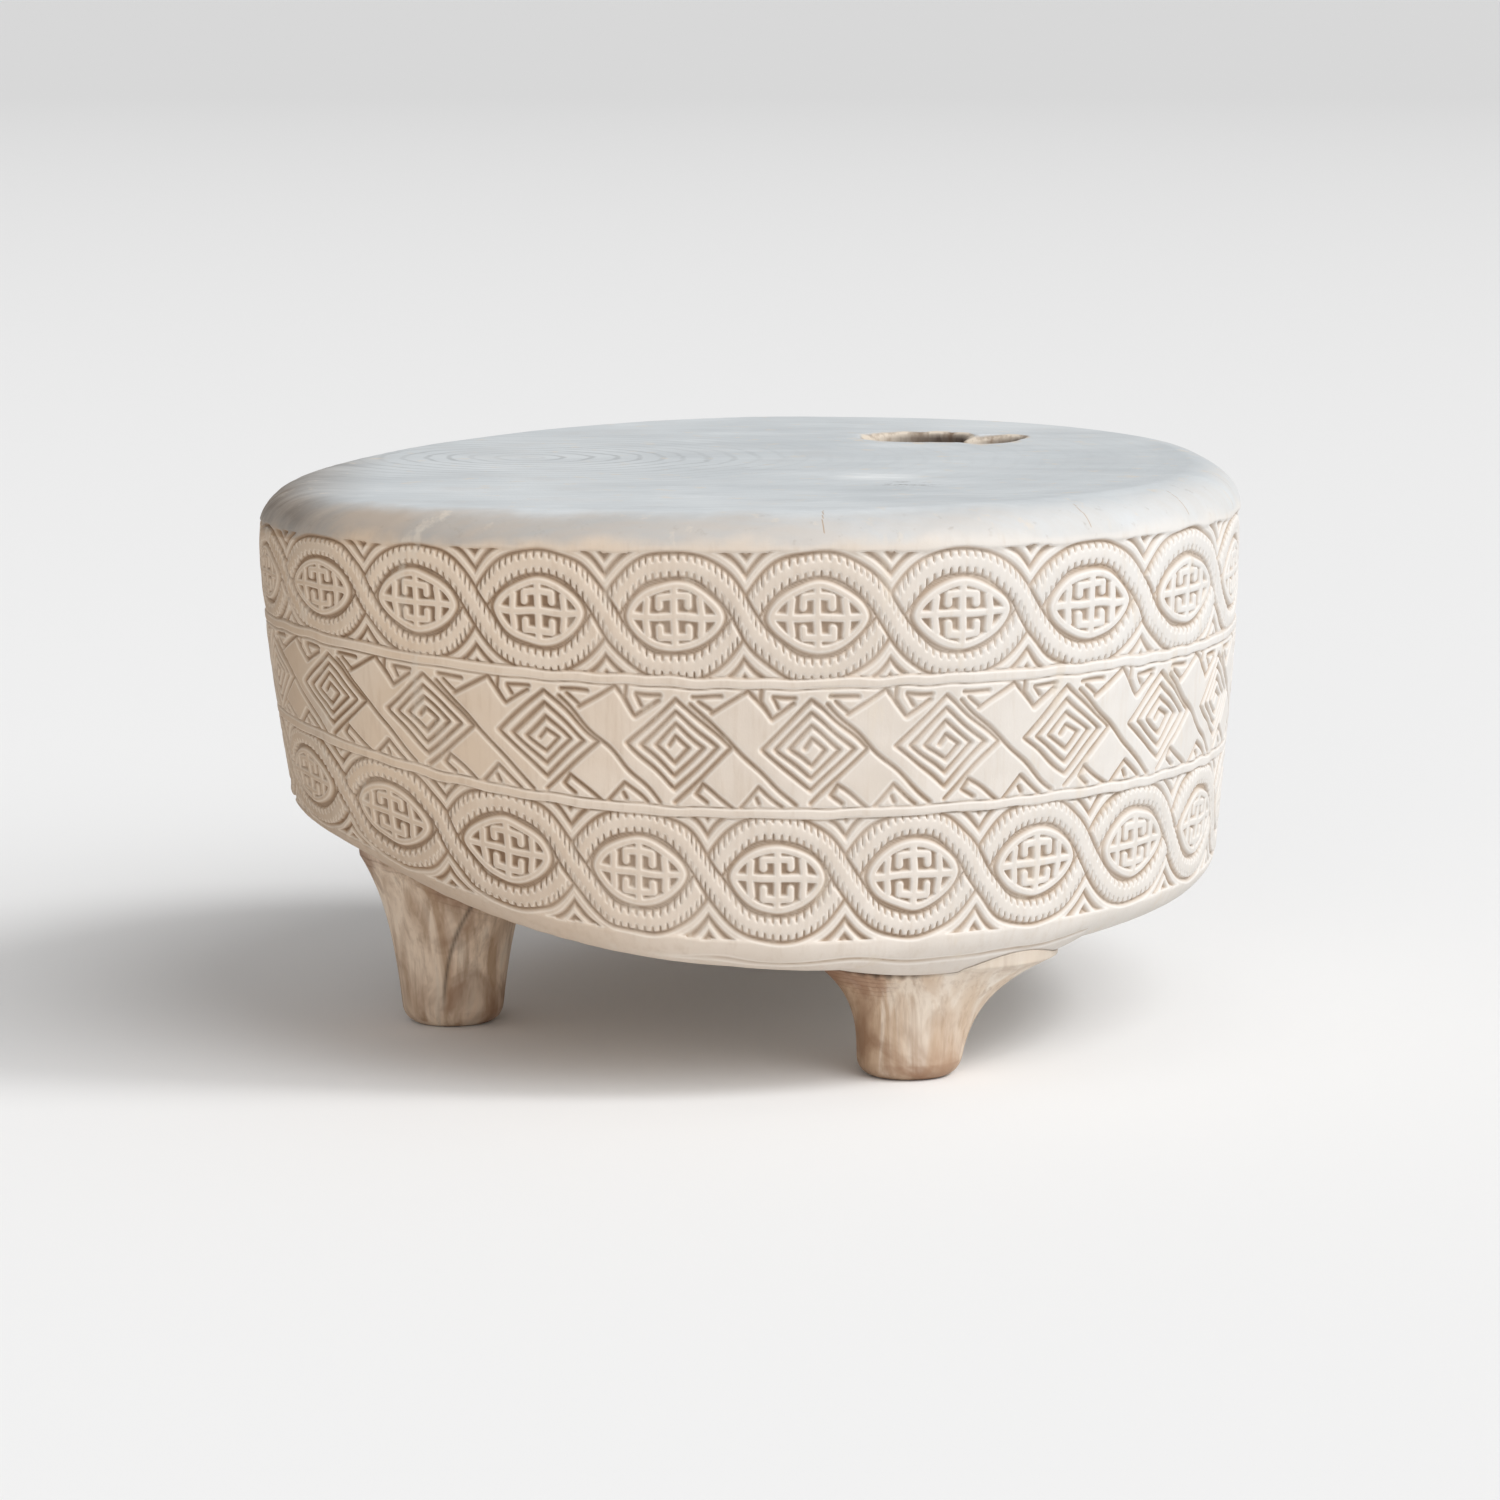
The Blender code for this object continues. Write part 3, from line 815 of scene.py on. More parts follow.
def add_top(shell, edge_ring):
    """The top's rings, along straight lines from the hollow's lip to the rounded edge."""
    centre = np.array(HOLLOW_CENTRE)
    for step, first, last, count in TOP_RINGS:
        away = edge_ring[::step, :2] - centre
        long = np.hypot(away[:, 0], away[:, 1])
        lip = hollow_reach(np.arctan2(away[:, 1], away[:, 0])) * LIP_SHARE
        for share in np.linspace(first, last, count):
            radius = lip + (long - lip) * share
            xy = centre + away / long[:, None] * radius[:, None]
            sag = 0.00035 * (1 + np.sin(xy[:, 0] * 31 + 1) * np.sin(xy[:, 1] * 27 + 2))
            sag = sag * min(1.0, (1 - share) * 8) * min(1.0, share * 8)
            ring = np.column_stack([xy, HEIGHT - sag - 0.0004 * (1 - share) ** 12])
            # Painted shade on the top, next to the hollow's lip.
            dark = 0.12 * max(0.0, 1 - share / 0.12)
            shell.add(ring, "top", groove=0.0, top=1.0, hollow=dark)


def add_wall(shell, wall, near, down):
    """The carved wall's rings. It returns how far down the wall each of the shell's rings lies, 0 to 1."""
    groove = np.clip(1.6 - near, 0, 1.6) / 1.6
    first_ring = len(shell.rings)
    for row in range(len(wall)):
        top = np.clip(-down[row] / TOP_WOOD_REACH, 0, 1)
        zone = "wall" if row < len(wall) - 1 else "under"
        shell.add(wall[row], zone, groove=groove[row], top=top, hollow=0.0)
    down_share = np.zeros(len(shell.rings) + 1)
    down_share[first_ring:-1] = np.linspace(0, 1, len(wall))
    return down_share


def add_underside(shell, edge):
    """The underside's rings, from the lower edge to its middle."""
    step = 1
    shares = [0.985, 0.97, 0.95, 0.925, *np.linspace(0.90, 0.48, 15), *np.linspace(0.44, 0.04, 11)]
    for number, share in enumerate(shares):
        if number in UNDERSIDE_COARSER_AT and COLUMNS // (step * 2) >= LEAST_COLUMNS:
            step *= 2
        xy = edge[::step, :2] * share
        z = underside_height(xy[:, 0], xy[:, 1])
        shell.add(np.column_stack([xy, z]), "under", groove=0.0, top=0.0, hollow=0.0)
    shell.add([[0.0, 0.0, UNDERSIDE]], "under", groove=0.0, top=0.0, hollow=0.0)


def make_body(material):
    """The trunk slice with its relief, its hollow and its underside, as one closed surface."""
    wall, near, down = body_wall()
    shell = Shell()
    add_hollow(shell, wall[0])
    add_top(shell, wall[0])
    down_share = add_wall(shell, wall, near, down)
    add_underside(shell, wall[-1])

    def uv_of(zone, points, rings, places):
        return body_uv(zone, points, down_share[rings] if zone == "wall" else None, places)

    return shell.build("body_carved", uv_of, material)


def leg_radius(height, leg, angle):
    """A leg's radius: a rounded foot, a slow swell, then a head flaring out."""
    rounding = np.minimum(1.0, height / LEG_FOOT_ROUNDING)
    foot = LEG_FLAT + (LEG_FOOT - LEG_FLAT) * np.sqrt(np.maximum(0.0, 1 - (1 - rounding) ** 2))
    narrowing = 1 - (1 - leg["depth"]) * np.sin(angle) ** 2
    flare = leg["flare"] * np.minimum(FLARE_MOST, (height / leg["head"]) ** FLARE_BEND)
    return foot + LEG_SWELL * height + flare * narrowing


def leg_point(leg, angle, height, waves):
    """Points of a leg's skin, worked by hand, so a little uneven. Each wave has turns, climb and phase."""
    radius = leg_radius(height, leg, angle)
    uneven = np.zeros(np.broadcast(angle, height).shape)
    for turns, climb, phase in waves:
        uneven = uneven + np.sin(turns * angle + climb * height + phase)
    radius = radius - 0.00022 * (len(waves) * 0.5 + uneven)
    lean = np.minimum(1.0, height / leg["head"]) ** LEAN_BEND
    x = leg["at"][0] + leg["lean"][0] * lean + radius * np.cos(angle)
    y = leg["at"][1] + leg["lean"][1] * lean + radius * np.sin(angle)
    return x, y


def leg_top(leg):
    """The middle of a leg's head, seen from above."""
    return leg["at"][0] + leg["lean"][0], leg["at"][1] + leg["lean"][1]


def seam_heights(leg, angle, waves):
    """The height at which each side of a leg meets the underside, found by halving."""
    low = np.full(len(angle), 0.03)
    high = np.full(len(angle), 0.24)
    for _ in range(40):
        middle = (low + high) / 2
        x, y = leg_point(leg, angle, middle, waves)
        under = middle < underside_height(x, y) - GAP
        low = np.where(under, middle, low)
        high = np.where(under, high, middle)
    return low


def seam_opening(place, angle):
    """Where the seam over the front leg gapes, as a share of its widest."""
    if place != "front":
        return np.zeros_like(angle)
    bay = np.clip(1 - np.abs(angle - SEAM_OPEN_AT) / SEAM_OPEN_HALF, 0, 1) ** 0.6
    return bay * (0.7 + 0.3 * np.sin(angle * 43))


def leg_crack(place, angle, height):
    """The left leg's one long drying crack: how deep it is here, and how dark."""
    if place != "left":
        return 0.0, np.zeros_like(angle)
    line = CRACK_FOOT_ANGLE + CRACK_LEAN * np.clip(height / 0.12, 0, 1.3) ** 2.2
    away = np.abs(angle - line) * LEG_FOOT
    line_share = np.clip(1 - away / CRACK_HALF, 0, 1) * np.clip((height - 0.012) / 0.02, 0, 1)
    return CRACK_DEPTH * line_share, 0.80 * line_share


def add_leg_head(shell, leg, seam_x, seam_y):
    """The head's rings, which follow the underside from the leg's middle to its seam."""
    top_x, top_y = leg_top(leg)
    middle_height = float(underside_height(np.array([top_x]), np.array([top_y]))[0]) - GAP
    shell.add([[top_x, top_y, middle_height]], "top", seam=0.0, height=1.0)
    for share, step in ((0.15, 8), (0.35, 4), (0.55, 2), (0.75, 2), (0.9, 1), (0.965, 1)):
        x = top_x + (seam_x[::step] - top_x) * share
        y = top_y + (seam_y[::step] - top_y) * share
        z = underside_height(x, y) - GAP
        # A little painted shade on the leg's head, under the body.
        shell.add(np.column_stack([x, y, z]), "top", seam=0.3, height=1.0)


def add_leg_side(shell, place, leg, angle, seam, waves):
    """The side's rings, from the seam down to the foot's rounding. The front leg's seam gapes in places,
    and the left leg has a crack."""
    top_x, top_y = leg_top(leg)
    opening = seam_opening(place, angle)
    showing = 1.0 - facing(angle, SEAM_CLOSED_AT) if place == "front" else 1.0
    for share in np.linspace(0, 1, LEG_SIDE_ROWS):
        height = seam + (LEG_FOOT_ROUNDING - seam) * share
        x, y = leg_point(leg, angle, height, waves)
        from_seam = seam - height
        gap_share = np.clip(1 - from_seam / (0.0020 + 0.0042 * opening), 0, 1) ** 1.4
        crack, crack_dark = leg_crack(place, angle, height)
        tuck = (0.0010 * showing + 0.0070 * opening) * gap_share + crack
        far = np.hypot(x - top_x, y - top_y)
        x = x - (x - top_x) / far * tuck
        y = y - (y - top_y) / far * tuck
        # Painted shade: dark along the seam where the leg meets the body, most where the seam gapes and none
        # at the front right where the light falls; the left leg's crack line is joined to it.
        dark = np.clip(1.5 - from_seam / (0.002 + 0.003 * opening), 0, 1)
        dark = np.maximum(dark * (0.35 * showing + 0.65 * opening), crack_dark)
        shell.add(np.column_stack([x, y, height]), "side", seam=dark, height=height / seam)


def add_leg_foot(shell, leg, angle, waves):
    """The foot's rounding, and the flat that the leg stands on."""
    for share in (0.85, 0.7, 0.55, 0.4, 0.27, 0.16, 0.08, 0.03, 0.0):
        height = np.full(len(angle), LEG_FOOT_ROUNDING * share)
        x, y = leg_point(leg, angle, height, waves)
        zone = "side" if share > 0 else "foot"
        shell.add(np.column_stack([x, y, height]), zone, seam=0.0, height=height)
    at_x, at_y = leg["at"]
    for share, step in ((0.7, 1), (0.45, 2), (0.2, 4)):
        flat_x = at_x + (x[::step] - at_x) * share
        flat_y = at_y + (y[::step] - at_y) * share
        flat = np.column_stack([flat_x, flat_y, np.zeros(len(flat_x))])
        shell.add(flat, "foot", seam=0.0, height=0.0)
    shell.add([[at_x, at_y, 0.0]], "foot", seam=0.0, height=0.0)


def make_leg(place, leg, material):
    """A leg whose head follows the underside, with a narrow gap for the seam."""
    angle = math.tau * np.arange(LEG_COLUMNS) / LEG_COLUMNS
    source = np.random.default_rng(41)
    waves = []
    for _ in range(7):
        waves.append((source.integers(1, 6), source.uniform(-60, 60), source.uniform(0, math.tau)))
    seam = seam_heights(leg, angle, waves)
    seam_x, seam_y = leg_point(leg, angle, seam, waves)
    shell = Shell()
    add_leg_head(shell, leg, seam_x, seam_y)
    add_leg_side(shell, place, leg, angle, seam, waves)
    add_leg_foot(shell, leg, angle, waves)

    def leg_uv(zone, points, rings, places):
        if zone == "side":
            return np.stack([0.01 + 0.98 * places, 0.01 + 0.62 * points[..., 2] / 0.24], -1)
        flat = (points[..., :2] - leg_top(leg)) * 2.0
        return flat + (np.array([0.2, 0.82]) if zone == "top" else np.array([0.7, 0.82]))

    return shell.build("leg_" + place + "_turned", leg_uv, material)


class Look:
    """A material made of nodes. Each call adds a node and returns the output that others use."""

    def __init__(self, name, roughness=0.8):
        self.material = bpy.data.materials.new(name)
        self.material.use_nodes = True
        self.nodes = self.material.node_tree.nodes
        self.links = self.material.node_tree.links
        self.shader = self.nodes["Principled BSDF"]
        self.shader.inputs["Roughness"].default_value = roughness
        self.place = self.nodes.new("ShaderNodeTexCoord").outputs["Object"]

    def put(self, socket, value):
        """Links a node's output to the socket, or sets the socket to a plain value."""
        if isinstance(value, bpy.types.NodeSocket):
            self.links.new(value, socket)
        else:
            socket.default_value = value

    def attribute(self, name):
        """A value that the mesh holds at each point."""
        node = self.nodes.new("ShaderNodeAttribute")
        node.attribute_name = name
        return node.outputs["Fac"]

    def stretched(self, scale, place=None, centre=(0.0, 0.0, 0.0)):
        """Places scaled along each axis about a centre, so that a pattern on them is stretched."""
        node = self.nodes.new("ShaderNodeMapping")
        node.inputs["Scale"].default_value = scale
        node.inputs["Location"].default_value = [-way * size for way, size in zip(centre, scale)]
        self.put(node.inputs["Vector"], place or self.place)
        return node.outputs["Vector"]

    def part_of_place(self, axis):
        """One of a place's three coordinates."""
        node = self.nodes.new("ShaderNodeSeparateXYZ")
        self.put(node.inputs["Vector"], self.place)
        return node.outputs[axis]

    def near_point(self, point, near, far):
        """1 within the near distance of a point, falling to 0 at the far one."""
        node = self.nodes.new("ShaderNodeVectorMath")
        node.operation = "DISTANCE"
        self.put(node.inputs[0], self.place)
        node.inputs[1].default_value = point
        return self.between(node.outputs["Value"], near, far, 1.0, 0.0, smooth=True)

    def noise(self, scale, detail=4.0, roughness=0.55, distortion=0.0, place=None):
        node = self.nodes.new("ShaderNodeTexNoise")
        node.inputs["Scale"].default_value = scale
        node.inputs["Detail"].default_value = detail
        node.inputs["Roughness"].default_value = roughness
        node.inputs["Distortion"].default_value = distortion
        self.put(node.inputs["Vector"], place or self.place)
        return node.outputs["Fac"]

    def rings(self, scale, distortion, direction="Z", place=None):
        node = self.nodes.new("ShaderNodeTexWave")
        node.wave_type = "RINGS"
        node.rings_direction = direction
        node.inputs["Scale"].default_value = scale
        node.inputs["Distortion"].default_value = distortion
        node.inputs["Detail"].default_value = 3.0
        node.inputs["Detail Scale"].default_value = 1.2
        self.put(node.inputs["Vector"], place or self.place)
        return node.outputs["Fac"]

    def math(self, operation, a, b=0.0, clamp=False):
        node = self.nodes.new("ShaderNodeMath")
        node.operation = operation
        node.use_clamp = clamp
        self.put(node.inputs[0], a)
        self.put(node.inputs[1], b)
        return node.outputs[0]

    def times(self, a, b):
        return self.math("MULTIPLY", a, b)

    def between(self, value, low, high, to_low=0.0, to_high=1.0, smooth=False):
        """The value carried from the range low to high over to the range to_low to to_high."""
        node = self.nodes.new("ShaderNodeMapRange")
        node.interpolation_type = "SMOOTHSTEP" if smooth else "LINEAR"
        self.put(node.inputs["Value"], value)
        node.inputs["From Min"].default_value = low
        node.inputs["From Max"].default_value = high
        node.inputs["To Min"].default_value = to_low
        node.inputs["To Max"].default_value = to_high
        return node.outputs["Result"]

    def mix(self, share, first, second, blend="MIX"):
        node = self.nodes.new("ShaderNodeMix")
        node.data_type = "RGBA"
        node.blend_type = blend
        self.put(node.inputs["Factor"], share)
        self.put(node.inputs["A"], first)
        self.put(node.inputs["B"], second)
        return node.outputs["Result"]

    def bump(self, height, distance, strength=1.0):
        node = self.nodes.new("ShaderNodeBump")
        node.inputs["Strength"].default_value = strength
        node.inputs["Distance"].default_value = distance
        self.put(node.inputs["Height"], height)
        self.put(self.shader.inputs["Normal"], node.outputs["Normal"])


def colour(red, green, blue):
    """A colour given as the screen shows it, 0 to 255, in the light that the shader works in."""
    values = []
    for part in (red, green, blue):
        part = part / 255
        values.append(part / 12.92 if part <= 0.04045 else ((part + 0.055) / 1.055) ** 2.4)
    return (*values, 1.0)


def wall_colour(look, across, left_end_shade, broad, cloud, grain):
    """The wall: browner at the left and nearly white at the right, a painted light gradient from the shaded
    left to the right where the key light falls; painted shade at the far left end and along the lower left
    edge.
    """
    # Painted light: each colour pair runs from a browner, shaded tone at the left to a nearly white, lit tone
    # at the right.
    base = look.mix(across, colour(216, 192, 166), colour(217, 214, 210))
    patch = look.mix(across, colour(198, 172, 144), colour(202, 193, 182))
    light = look.mix(across, colour(228, 211, 192), colour(226, 221, 216))
    grain_dark = look.mix(across, colour(182, 154, 126), colour(204, 192, 178))
    base = look.mix(look.between(broad, 0.40, 0.68, 0.0, 0.55), base, patch)
    base = look.mix(look.between(cloud, 0.42, 0.68, 0.0, 0.5), base, light)
    base = look.mix(look.between(grain, 0.50, 0.75, 0.0, 0.40), base, grain_dark)
    # Painted shade: the wall darkens to brown at its far left end, away from the key light.
    base = look.mix(look.times(left_end_shade, 0.60), base, colour(162, 136, 110))
    # Painted shade along the lower left edge, which faces down and away from the key light.
    low = look.between(look.part_of_place("Z"), 0.24, 0.15)
    low_left_shade = look.times(low, look.between(look.part_of_place("X"), -0.06, -0.24))
    return look.mix(look.times(low_left_shade, 0.5), base, colour(150, 124, 100))


def growth_rings(look, cloud):
    """How much the growth rings show: most round the trunk's heart, and in patches."""
    rings = look.rings(17.0, 3.2, place=look.stretched((1.0, 1.25, 1.0), centre=HEART))
    near_heart = look.near_point((HEART[0], HEART[1], HEIGHT), 0.06, 0.26)
    strength = look.between(near_heart, 0.0, 1.0, 0.08, 0.60)
    share = look.times(look.between(rings, 0.74, 0.98), strength)
    return look.times(share, look.between(cloud, 0.36, 0.60, 0.3, 1.0))


def top_colour(look, broad, cloud, streaks):
    """The top: grey, with faint rings, streaks, a small cracked knot and a pale scuff."""
    pale = colour(220, 223, 225)
    base = look.mix(look.between(broad, 0.35, 0.65), colour(192, 197, 200), colour(208, 212, 214))
    base = look.mix(growth_rings(look, cloud), base, colour(158, 161, 162))
    base = look.mix(look.between(streaks, 0.50, 0.75, 0.0, 0.40), base, colour(172, 176, 179))
    base = look.mix(look.between(streaks, 0.46, 0.30, 0.0, 0.35), base, pale)
    base = look.mix(look.between(cloud, 0.58, 0.75, 0.0, 0.35), base, pale)
    marks = look.noise(1.0, detail=4.0, roughness=0.7, place=look.stretched((60.0, 240.0, 10.0)))
    knot = look.times(look.near_point(TOP_MARK, 0.012, 0.034), look.between(marks, 0.56, 0.64))
    base = look.mix(knot, base, colour(104, 96, 90))
    scuff = look.times(look.near_point(TOP_PALE_MARK, 0.01, 0.05), look.between(streaks, 0.4, 0.6))
    return look.mix(look.times(scuff, 0.7), base, colour(236, 238, 238))


def rim_colour(look, side, top, across, left_end_shade, cloud, streaks):
    """The side and the top joined by the rounded edge: a ragged change from beige to grey between them,
    painted darker at the left and paler at the right as light and shade, and at the far left a painted shade
    over a brown patch."""
    height = look.attribute("top")
    rim = look.math("ADD", height, look.between(cloud, 0.3, 0.7, -0.16, 0.16))
    # Painted light: the rim's wood is darker at the left and paler at the right.
    warm = look.mix(across, colour(176, 162, 148), colour(202, 201, 199))
    grey = look.mix(across, colour(166, 161, 155), colour(204, 206, 207))
    wood = look.mix(look.between(streaks, 0.40, 0.64), warm, grey)
    specks = look.noise(95.0, detail=3.0)
    wood = look.mix(look.between(specks, 0.63, 0.76, 0.0, 0.4), wood, colour(150, 138, 124))
    on_rim = look.times(look.between(rim, -0.05, 0.26, smooth=True), look.between(height, 0.0, 0.10))
    base = look.mix(on_rim, side, wood)
    base = look.mix(look.between(rim, 0.40, 1.0, smooth=True), base, top)
    # Painted shade at the far left end, over a brown patch.
    end_shade_and_patch = look.mix(look.between(streaks, 0.42, 0.62), colour(152, 142, 132), colour(112, 98, 84))
    return look.mix(look.times(left_end_shade, look.between(rim, 0.0, 0.4, 0.0, 0.9)), base, end_shade_and_patch)


def relief_colour(look, base, across, cloud):
    """The relief's stain: brown in its grooves, paler and less so at the right as painted light, with pale
    groove edges that are partly wear and partly painted highlight.
    """
    groove = look.attribute("groove")
    below_rim = look.between(look.attribute("top"), 0.0, 0.02, 0.55, 0.0)
    # Partly wear and partly painted highlight: the groove edges are lightened.
    wear_and_highlight_edge = look.times(look.between(groove, 0.02, 0.28), below_rim)
    base = look.mix(wear_and_highlight_edge, base, look.mix(across, colour(232, 217, 199), colour(234, 231, 227)))
    # The stain pales towards the right as painted light from the key.
    stain = look.mix(across, colour(164, 134, 104), colour(186, 168, 149))
    core = look.mix(across, colour(118, 90, 64), colour(148, 125, 104))
    worn = look.between(cloud, 0.35, 0.65, 0.60, 0.95)
    base = look.mix(look.times(look.between(groove, 0.32, 0.80), worn), base, stain)
    return look.mix(look.times(look.between(groove, 0.72, 1.0), look.times(worn, 0.75)), base, core)


def hollow_colour(look, base):
    """The hollow: rough bark in pale and dark patches, with painted shade that makes it darkest at the bottom
    and weaker on the sloped side and the ledge, which read as painted highlight.
    """
    hollow = look.attribute("hollow")
    bark_place = look.stretched((52.0, 52.0, 16.0))
    bark_grain = look.noise(1.0, detail=4.0, roughness=0.6, place=bark_place)
    ragged = look.math("ADD", hollow, look.between(bark_grain, 0.3, 0.7, -0.22, 0.22))
    bark = look.mix(look.between(bark_grain, 0.42, 0.56), colour(136, 116, 98), colour(214, 202, 186))
    # Painted shade: near black-brown deep in the hollow.
    bark = look.mix(look.between(ragged, 0.55, 1.05, 0.0, 0.93), bark, colour(66, 50, 40))
    return look.mix(look.between(ragged, 0.12, 0.34), base, bark)


def slice_wood():
    """Bleached wood: warm beige sides with upright grain, a cool grey top with rings, brown grooves."""
    look = Look("slice_wood")
    broad = look.noise(4.0, detail=3.0)
    cloud = look.noise(15.0, detail=5.0)
    grain = look.noise(1.0, detail=6.0, roughness=0.6, place=look.stretched((150.0, 150.0, 14.0)))
    fine = look.noise(420.0, detail=2.0)
    streaks = look.noise(1.0, detail=5.0, roughness=0.7, place=look.stretched((9.0, 34.0, 10.0)))
    # Painted light: across runs from the shaded left end to the lit right end.
    across = look.between(look.part_of_place("X"), -0.36, 0.34, smooth=True)
    # Painted shade at the far left end, used on the wall and on the rim.
    left_end_shade = look.between(look.part_of_place("X"), -0.372, -0.27, 1.0, 0.0, smooth=True)
    side = wall_colour(look, across, left_end_shade, broad, cloud, grain)
    top = top_colour(look, broad, cloud, streaks)
    base = rim_colour(look, side, top, across, left_end_shade, cloud, streaks)
    base = relief_colour(look, base, across, cloud)
    look.put(look.shader.inputs["Base Color"], hollow_colour(look, base))
    look.put(look.shader.inputs["Roughness"], look.between(cloud, 0.3, 0.7, 0.66, 0.84))
    look.bump(look.math("ADD", look.times(grain, 0.7), look.times(fine, 0.3)), 0.0006, 0.5)
    return look.material


def head_colour(look, base, across, height, flow, patch):
    """Curved growth lines and a redder stain under the leg's head, both fading towards the lit right, and a
    painted highlight that makes the flare pale at its right.
    """
    bent = look.math("ADD", look.times(height, 150.0), look.times(flow, 14.0))
    lines = look.between(look.math("SINE", bent), 0.45, 0.95)
    head = look.times(look.between(height, 0.70, 0.84), look.between(patch, 0.40, 0.55))
    lines = look.times(look.times(lines, head), look.between(across, 0.1, 0.6, 0.5, 0.0))
    base = look.mix(lines, base, colour(120, 90, 66))
    red_share = look.times(head, look.between(across, 0.2, 0.8, 0.4, 0.0))
    base = look.mix(red_share, base, colour(150, 108, 84))
    # Painted highlight: the flare's right side is made pale where the key light falls.
    right = look.between(look.part_of_place("X"), 0.135, 0.185)
    flare = look.times(look.between(height, 0.74, 0.93), right)
    return look.mix(look.times(flare, 0.8), base, colour(206, 194, 180))


def leg_wood():
    """Tan wood with flowing upright grain and brown streaks and patches, painted paler at the right of the
    front and back legs where the key light falls and darker at their left as painted shade; the left leg is
    painted paler as a whole against the shade it stands in.
    """
    look = Look("leg_wood")
    flow = look.noise(1.0, detail=4.0, distortion=1.2, place=look.stretched((30.0, 30.0, 6.0)))
    streak_place = look.stretched((75.0, 75.0, 9.0))
    streak = look.noise(1.0, detail=5.0, roughness=0.6, distortion=0.6, place=streak_place)
    grain = look.noise(1.0, detail=6.0, roughness=0.65, place=look.stretched((190.0, 190.0, 14.0)))
    patch = look.noise(20.0, detail=4.0, distortion=0.5)
    height = look.attribute("height")
    # Painted light and shade: across runs from a leg's shaded left to its lit right, and shaded gives the
    # left leg a paler painted light.
    across = look.between(look.part_of_place("X"), 0.078, 0.165)
    shaded = look.between(look.part_of_place("X"), -0.15, 0.05)
    left_side_shade_and_light = look.mix(shaded, colour(240, 218, 194), colour(204, 176, 148))
    dark_flow = look.mix(across, colour(184, 152, 122), colour(208, 186, 162))
    light_flow = look.mix(across, colour(232, 216, 196), colour(236, 228, 217))
    base = look.mix(across, left_side_shade_and_light, colour(224, 211, 195))
    base = look.mix(look.between(flow, 0.44, 0.60, 0.0, 0.85), base, dark_flow)
    base = look.mix(look.between(flow, 0.44, 0.36, 0.0, 0.7), base, light_flow)
    base = look.mix(look.between(streak, 0.52, 0.66, 0.0, 0.5), base, colour(156, 122, 92))
    base = look.mix(look.between(grain, 0.52, 0.74, 0.0, 0.35), base, colour(140, 106, 80))
    # The stain fades towards the lit right as painted light.
    stain = look.times(look.between(patch, 0.50, 0.66), look.between(across, 0.2, 1.0, 0.8, 0.15))
    base = look.mix(stain, base, colour(144, 108, 80))
    foot = look.times(look.between(height, 0.05, 0.35, 0.6, 0.0), look.between(patch, 0.36, 0.6))
    base = look.mix(foot, base, colour(142, 104, 76))
    base = head_colour(look, base, across, height, flow, patch)
    # Painted shade along the seam, with the left leg's crack line.
    seam_shade_and_crack = look.between(look.attribute("seam"), 0.0, 1.0, 0.0, 0.92)
    look.put(look.shader.inputs["Base Color"], look.mix(seam_shade_and_crack, base, colour(48, 35, 27)))
    look.put(look.shader.inputs["Roughness"], look.between(patch, 0.3, 0.7, 0.52, 0.70))
    look.bump(grain, 0.0005, 0.5)
    return look.material


def dowel_wood():
    """Plain darker wood with upright grain."""
    look = Look("dowel_wood", roughness=0.6)
    grain = look.noise(1.0, detail=5.0, place=look.stretched((240.0, 240.0, 18.0)))
    base = look.mix(look.between(grain, 0.3, 0.7), colour(178, 146, 112), colour(140, 106, 76))
    look.put(look.shader.inputs["Base Color"], base)
    look.bump(grain, 0.0003, 0.5)
    return look.material


def floor_paint():
    """Pale grey paint, with a painted shade that makes it a little darker far behind the object, where the
    light falls off.
    """
    look = Look("floor_paint", roughness=0.9)
    # Painted shade: the floor darkens with distance behind the object.
    far = look.between(look.part_of_place("Y"), 0.5, 20.0)
    paint = look.mix(far, (0.85, 0.85, 0.85, 1.0), (0.66, 0.66, 0.66, 1.0))
    look.put(look.shader.inputs["Base Color"], paint)
    return look.material


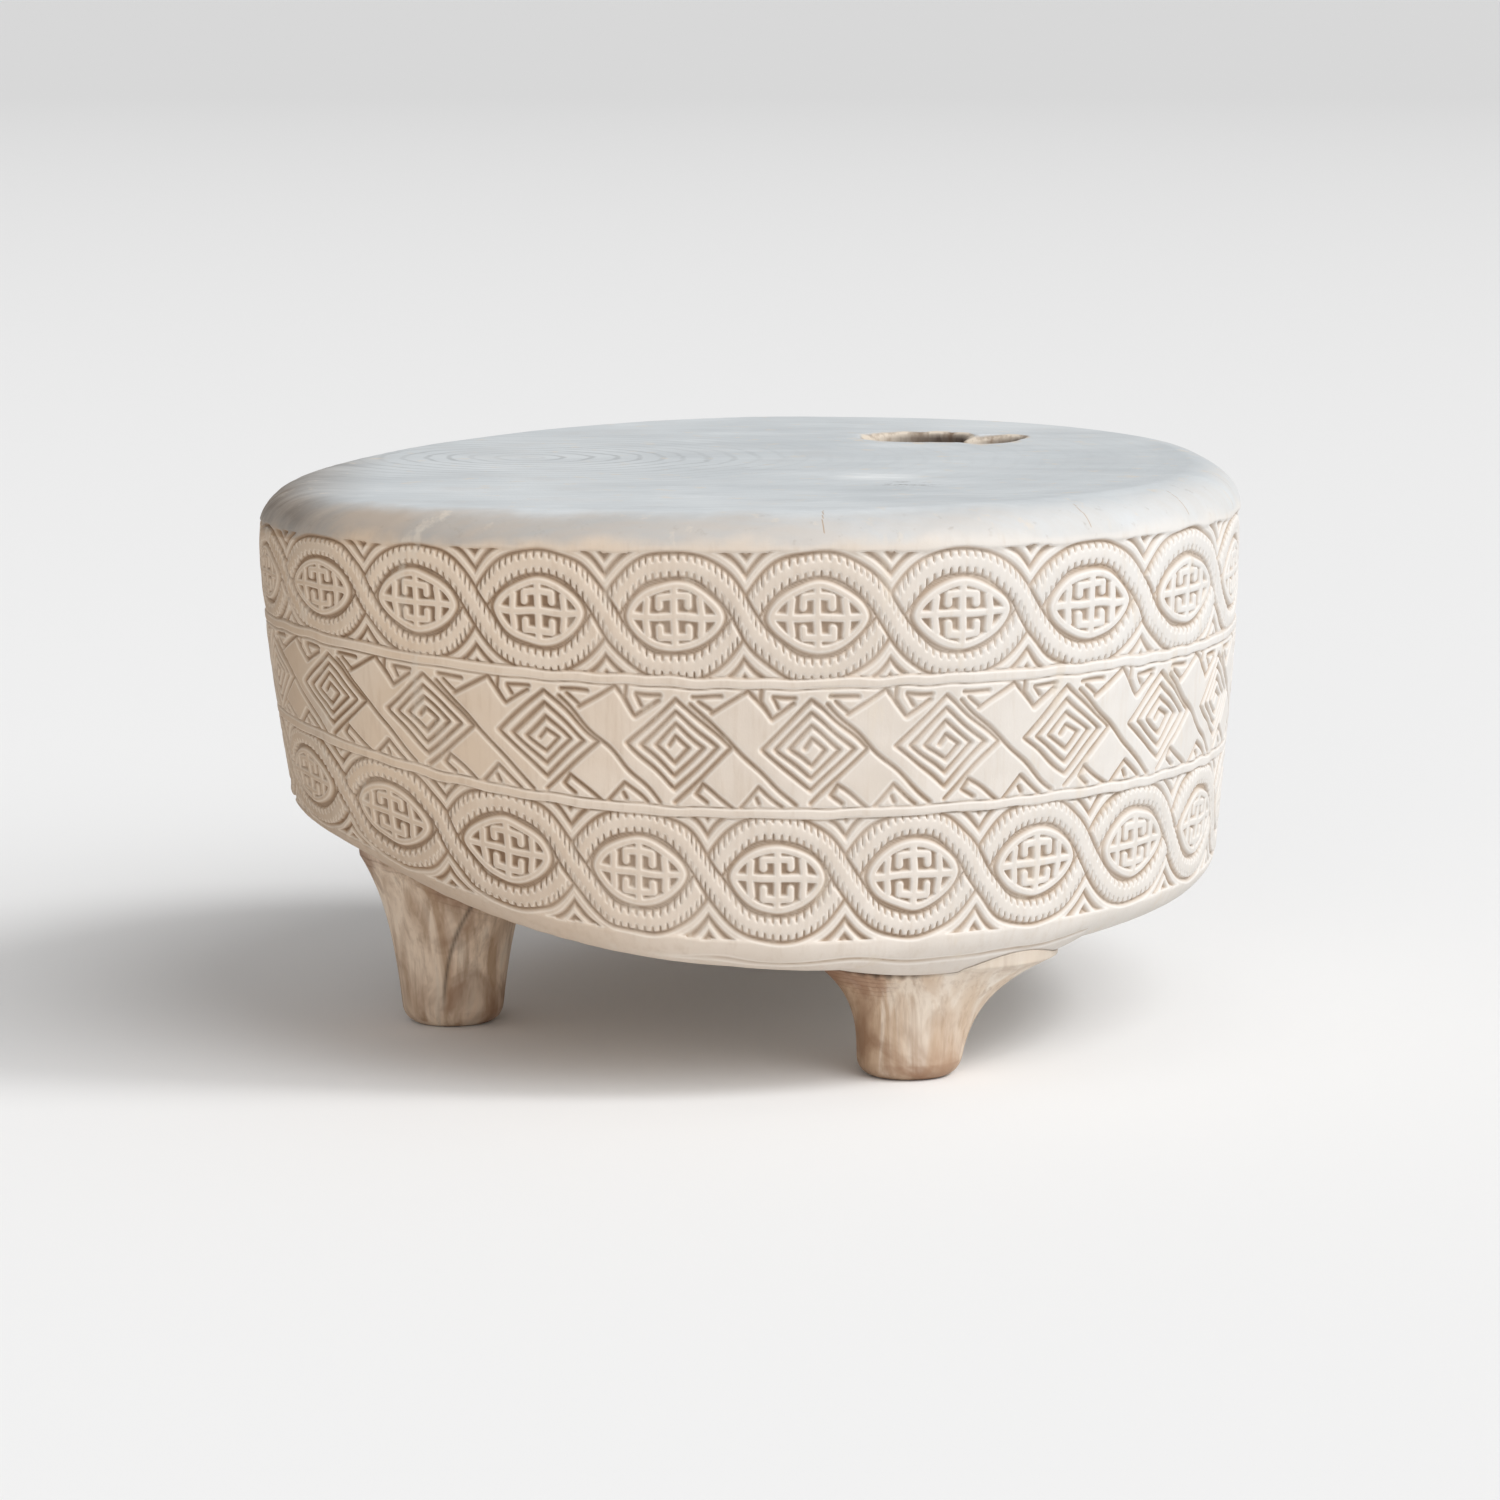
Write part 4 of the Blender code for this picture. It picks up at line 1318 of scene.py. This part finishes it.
def make_floor():
    """A plain pale floor, wide enough to fill the whole view."""
    half = FLOOR_HALF
    corners = [(-half, -half, 0), (half, -half, 0), (half, half, 0), (-half, half, 0)]
    mesh = bpy.data.meshes.new("floor")
    mesh.from_pydata(corners, [], [(0, 1, 2, 3)])
    mesh.materials.append(floor_paint())
    floor = bpy.data.objects.new("floor", mesh)
    bpy.context.scene.collection.objects.link(floor)


def make_sun(name, azimuth, elevation, strength, softness, tint=(1.0, 1.0, 1.0)):
    """A far lamp: azimuth 0 shines from the front and 90 from the right, softness is its width in degrees."""
    data = bpy.data.lights.new(name, "SUN")
    data.energy = strength
    data.angle = math.radians(softness)
    data.color = tint
    lamp = bpy.data.objects.new(name, data)
    lamp.rotation_euler = (math.radians(90 - elevation), 0.0, math.radians(azimuth))
    bpy.context.scene.collection.objects.link(lamp)


def make_light():
    """A soft studio: even light from all round, a wide lamp at the front right, and a key at the right."""
    world = bpy.data.worlds.new("studio")
    bpy.context.scene.world = world
    world.use_nodes = True
    background = world.node_tree.nodes["Background"]
    background.inputs["Color"].default_value = (1.0, 1.0, 1.0, 1.0)
    background.inputs["Strength"].default_value = 0.42
    make_sun("soft_box", azimuth=47, elevation=43, strength=1.70, softness=52)
    make_sun("key", azimuth=80, elevation=44, strength=1.05, softness=16)
    make_sun("fill", azimuth=-8, elevation=15, strength=0.36, softness=40)


def make_camera():
    """The camera, level from side to side, that looks a little down."""
    data = bpy.data.cameras.new("camera")
    data.sensor_width = 36.0
    data.lens = CAMERA_LENS
    data.clip_end = 200.0
    camera = bpy.data.objects.new("camera", data)
    camera.location = CAMERA_AT
    camera.rotation_euler = (math.pi / 2 - CAMERA_PITCH, 0.0, 0.0)
    bpy.context.scene.collection.objects.link(camera)
    bpy.context.scene.camera = camera


def make_pieces():
    """The body and legs in place of their CAD nodes, and wood on the CAD's own dowels."""
    leg_look = leg_wood()
    body = make_body(slice_wood())
    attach(body, "root")
    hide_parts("body")
    for place, leg in LEGS.items():
        piece = make_leg(place, leg, leg_look)
        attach(piece, "root")
        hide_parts("leg_" + place)
    dowel_look = dowel_wood()
    for name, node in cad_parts.items():
        if name.startswith("dowel_"):
            for own_slot in node.material_slots:
                own_slot.material = dowel_look


make_camera()
make_light()
make_floor()
make_pieces()
bpy.context.scene.view_settings.view_transform = "Standard"
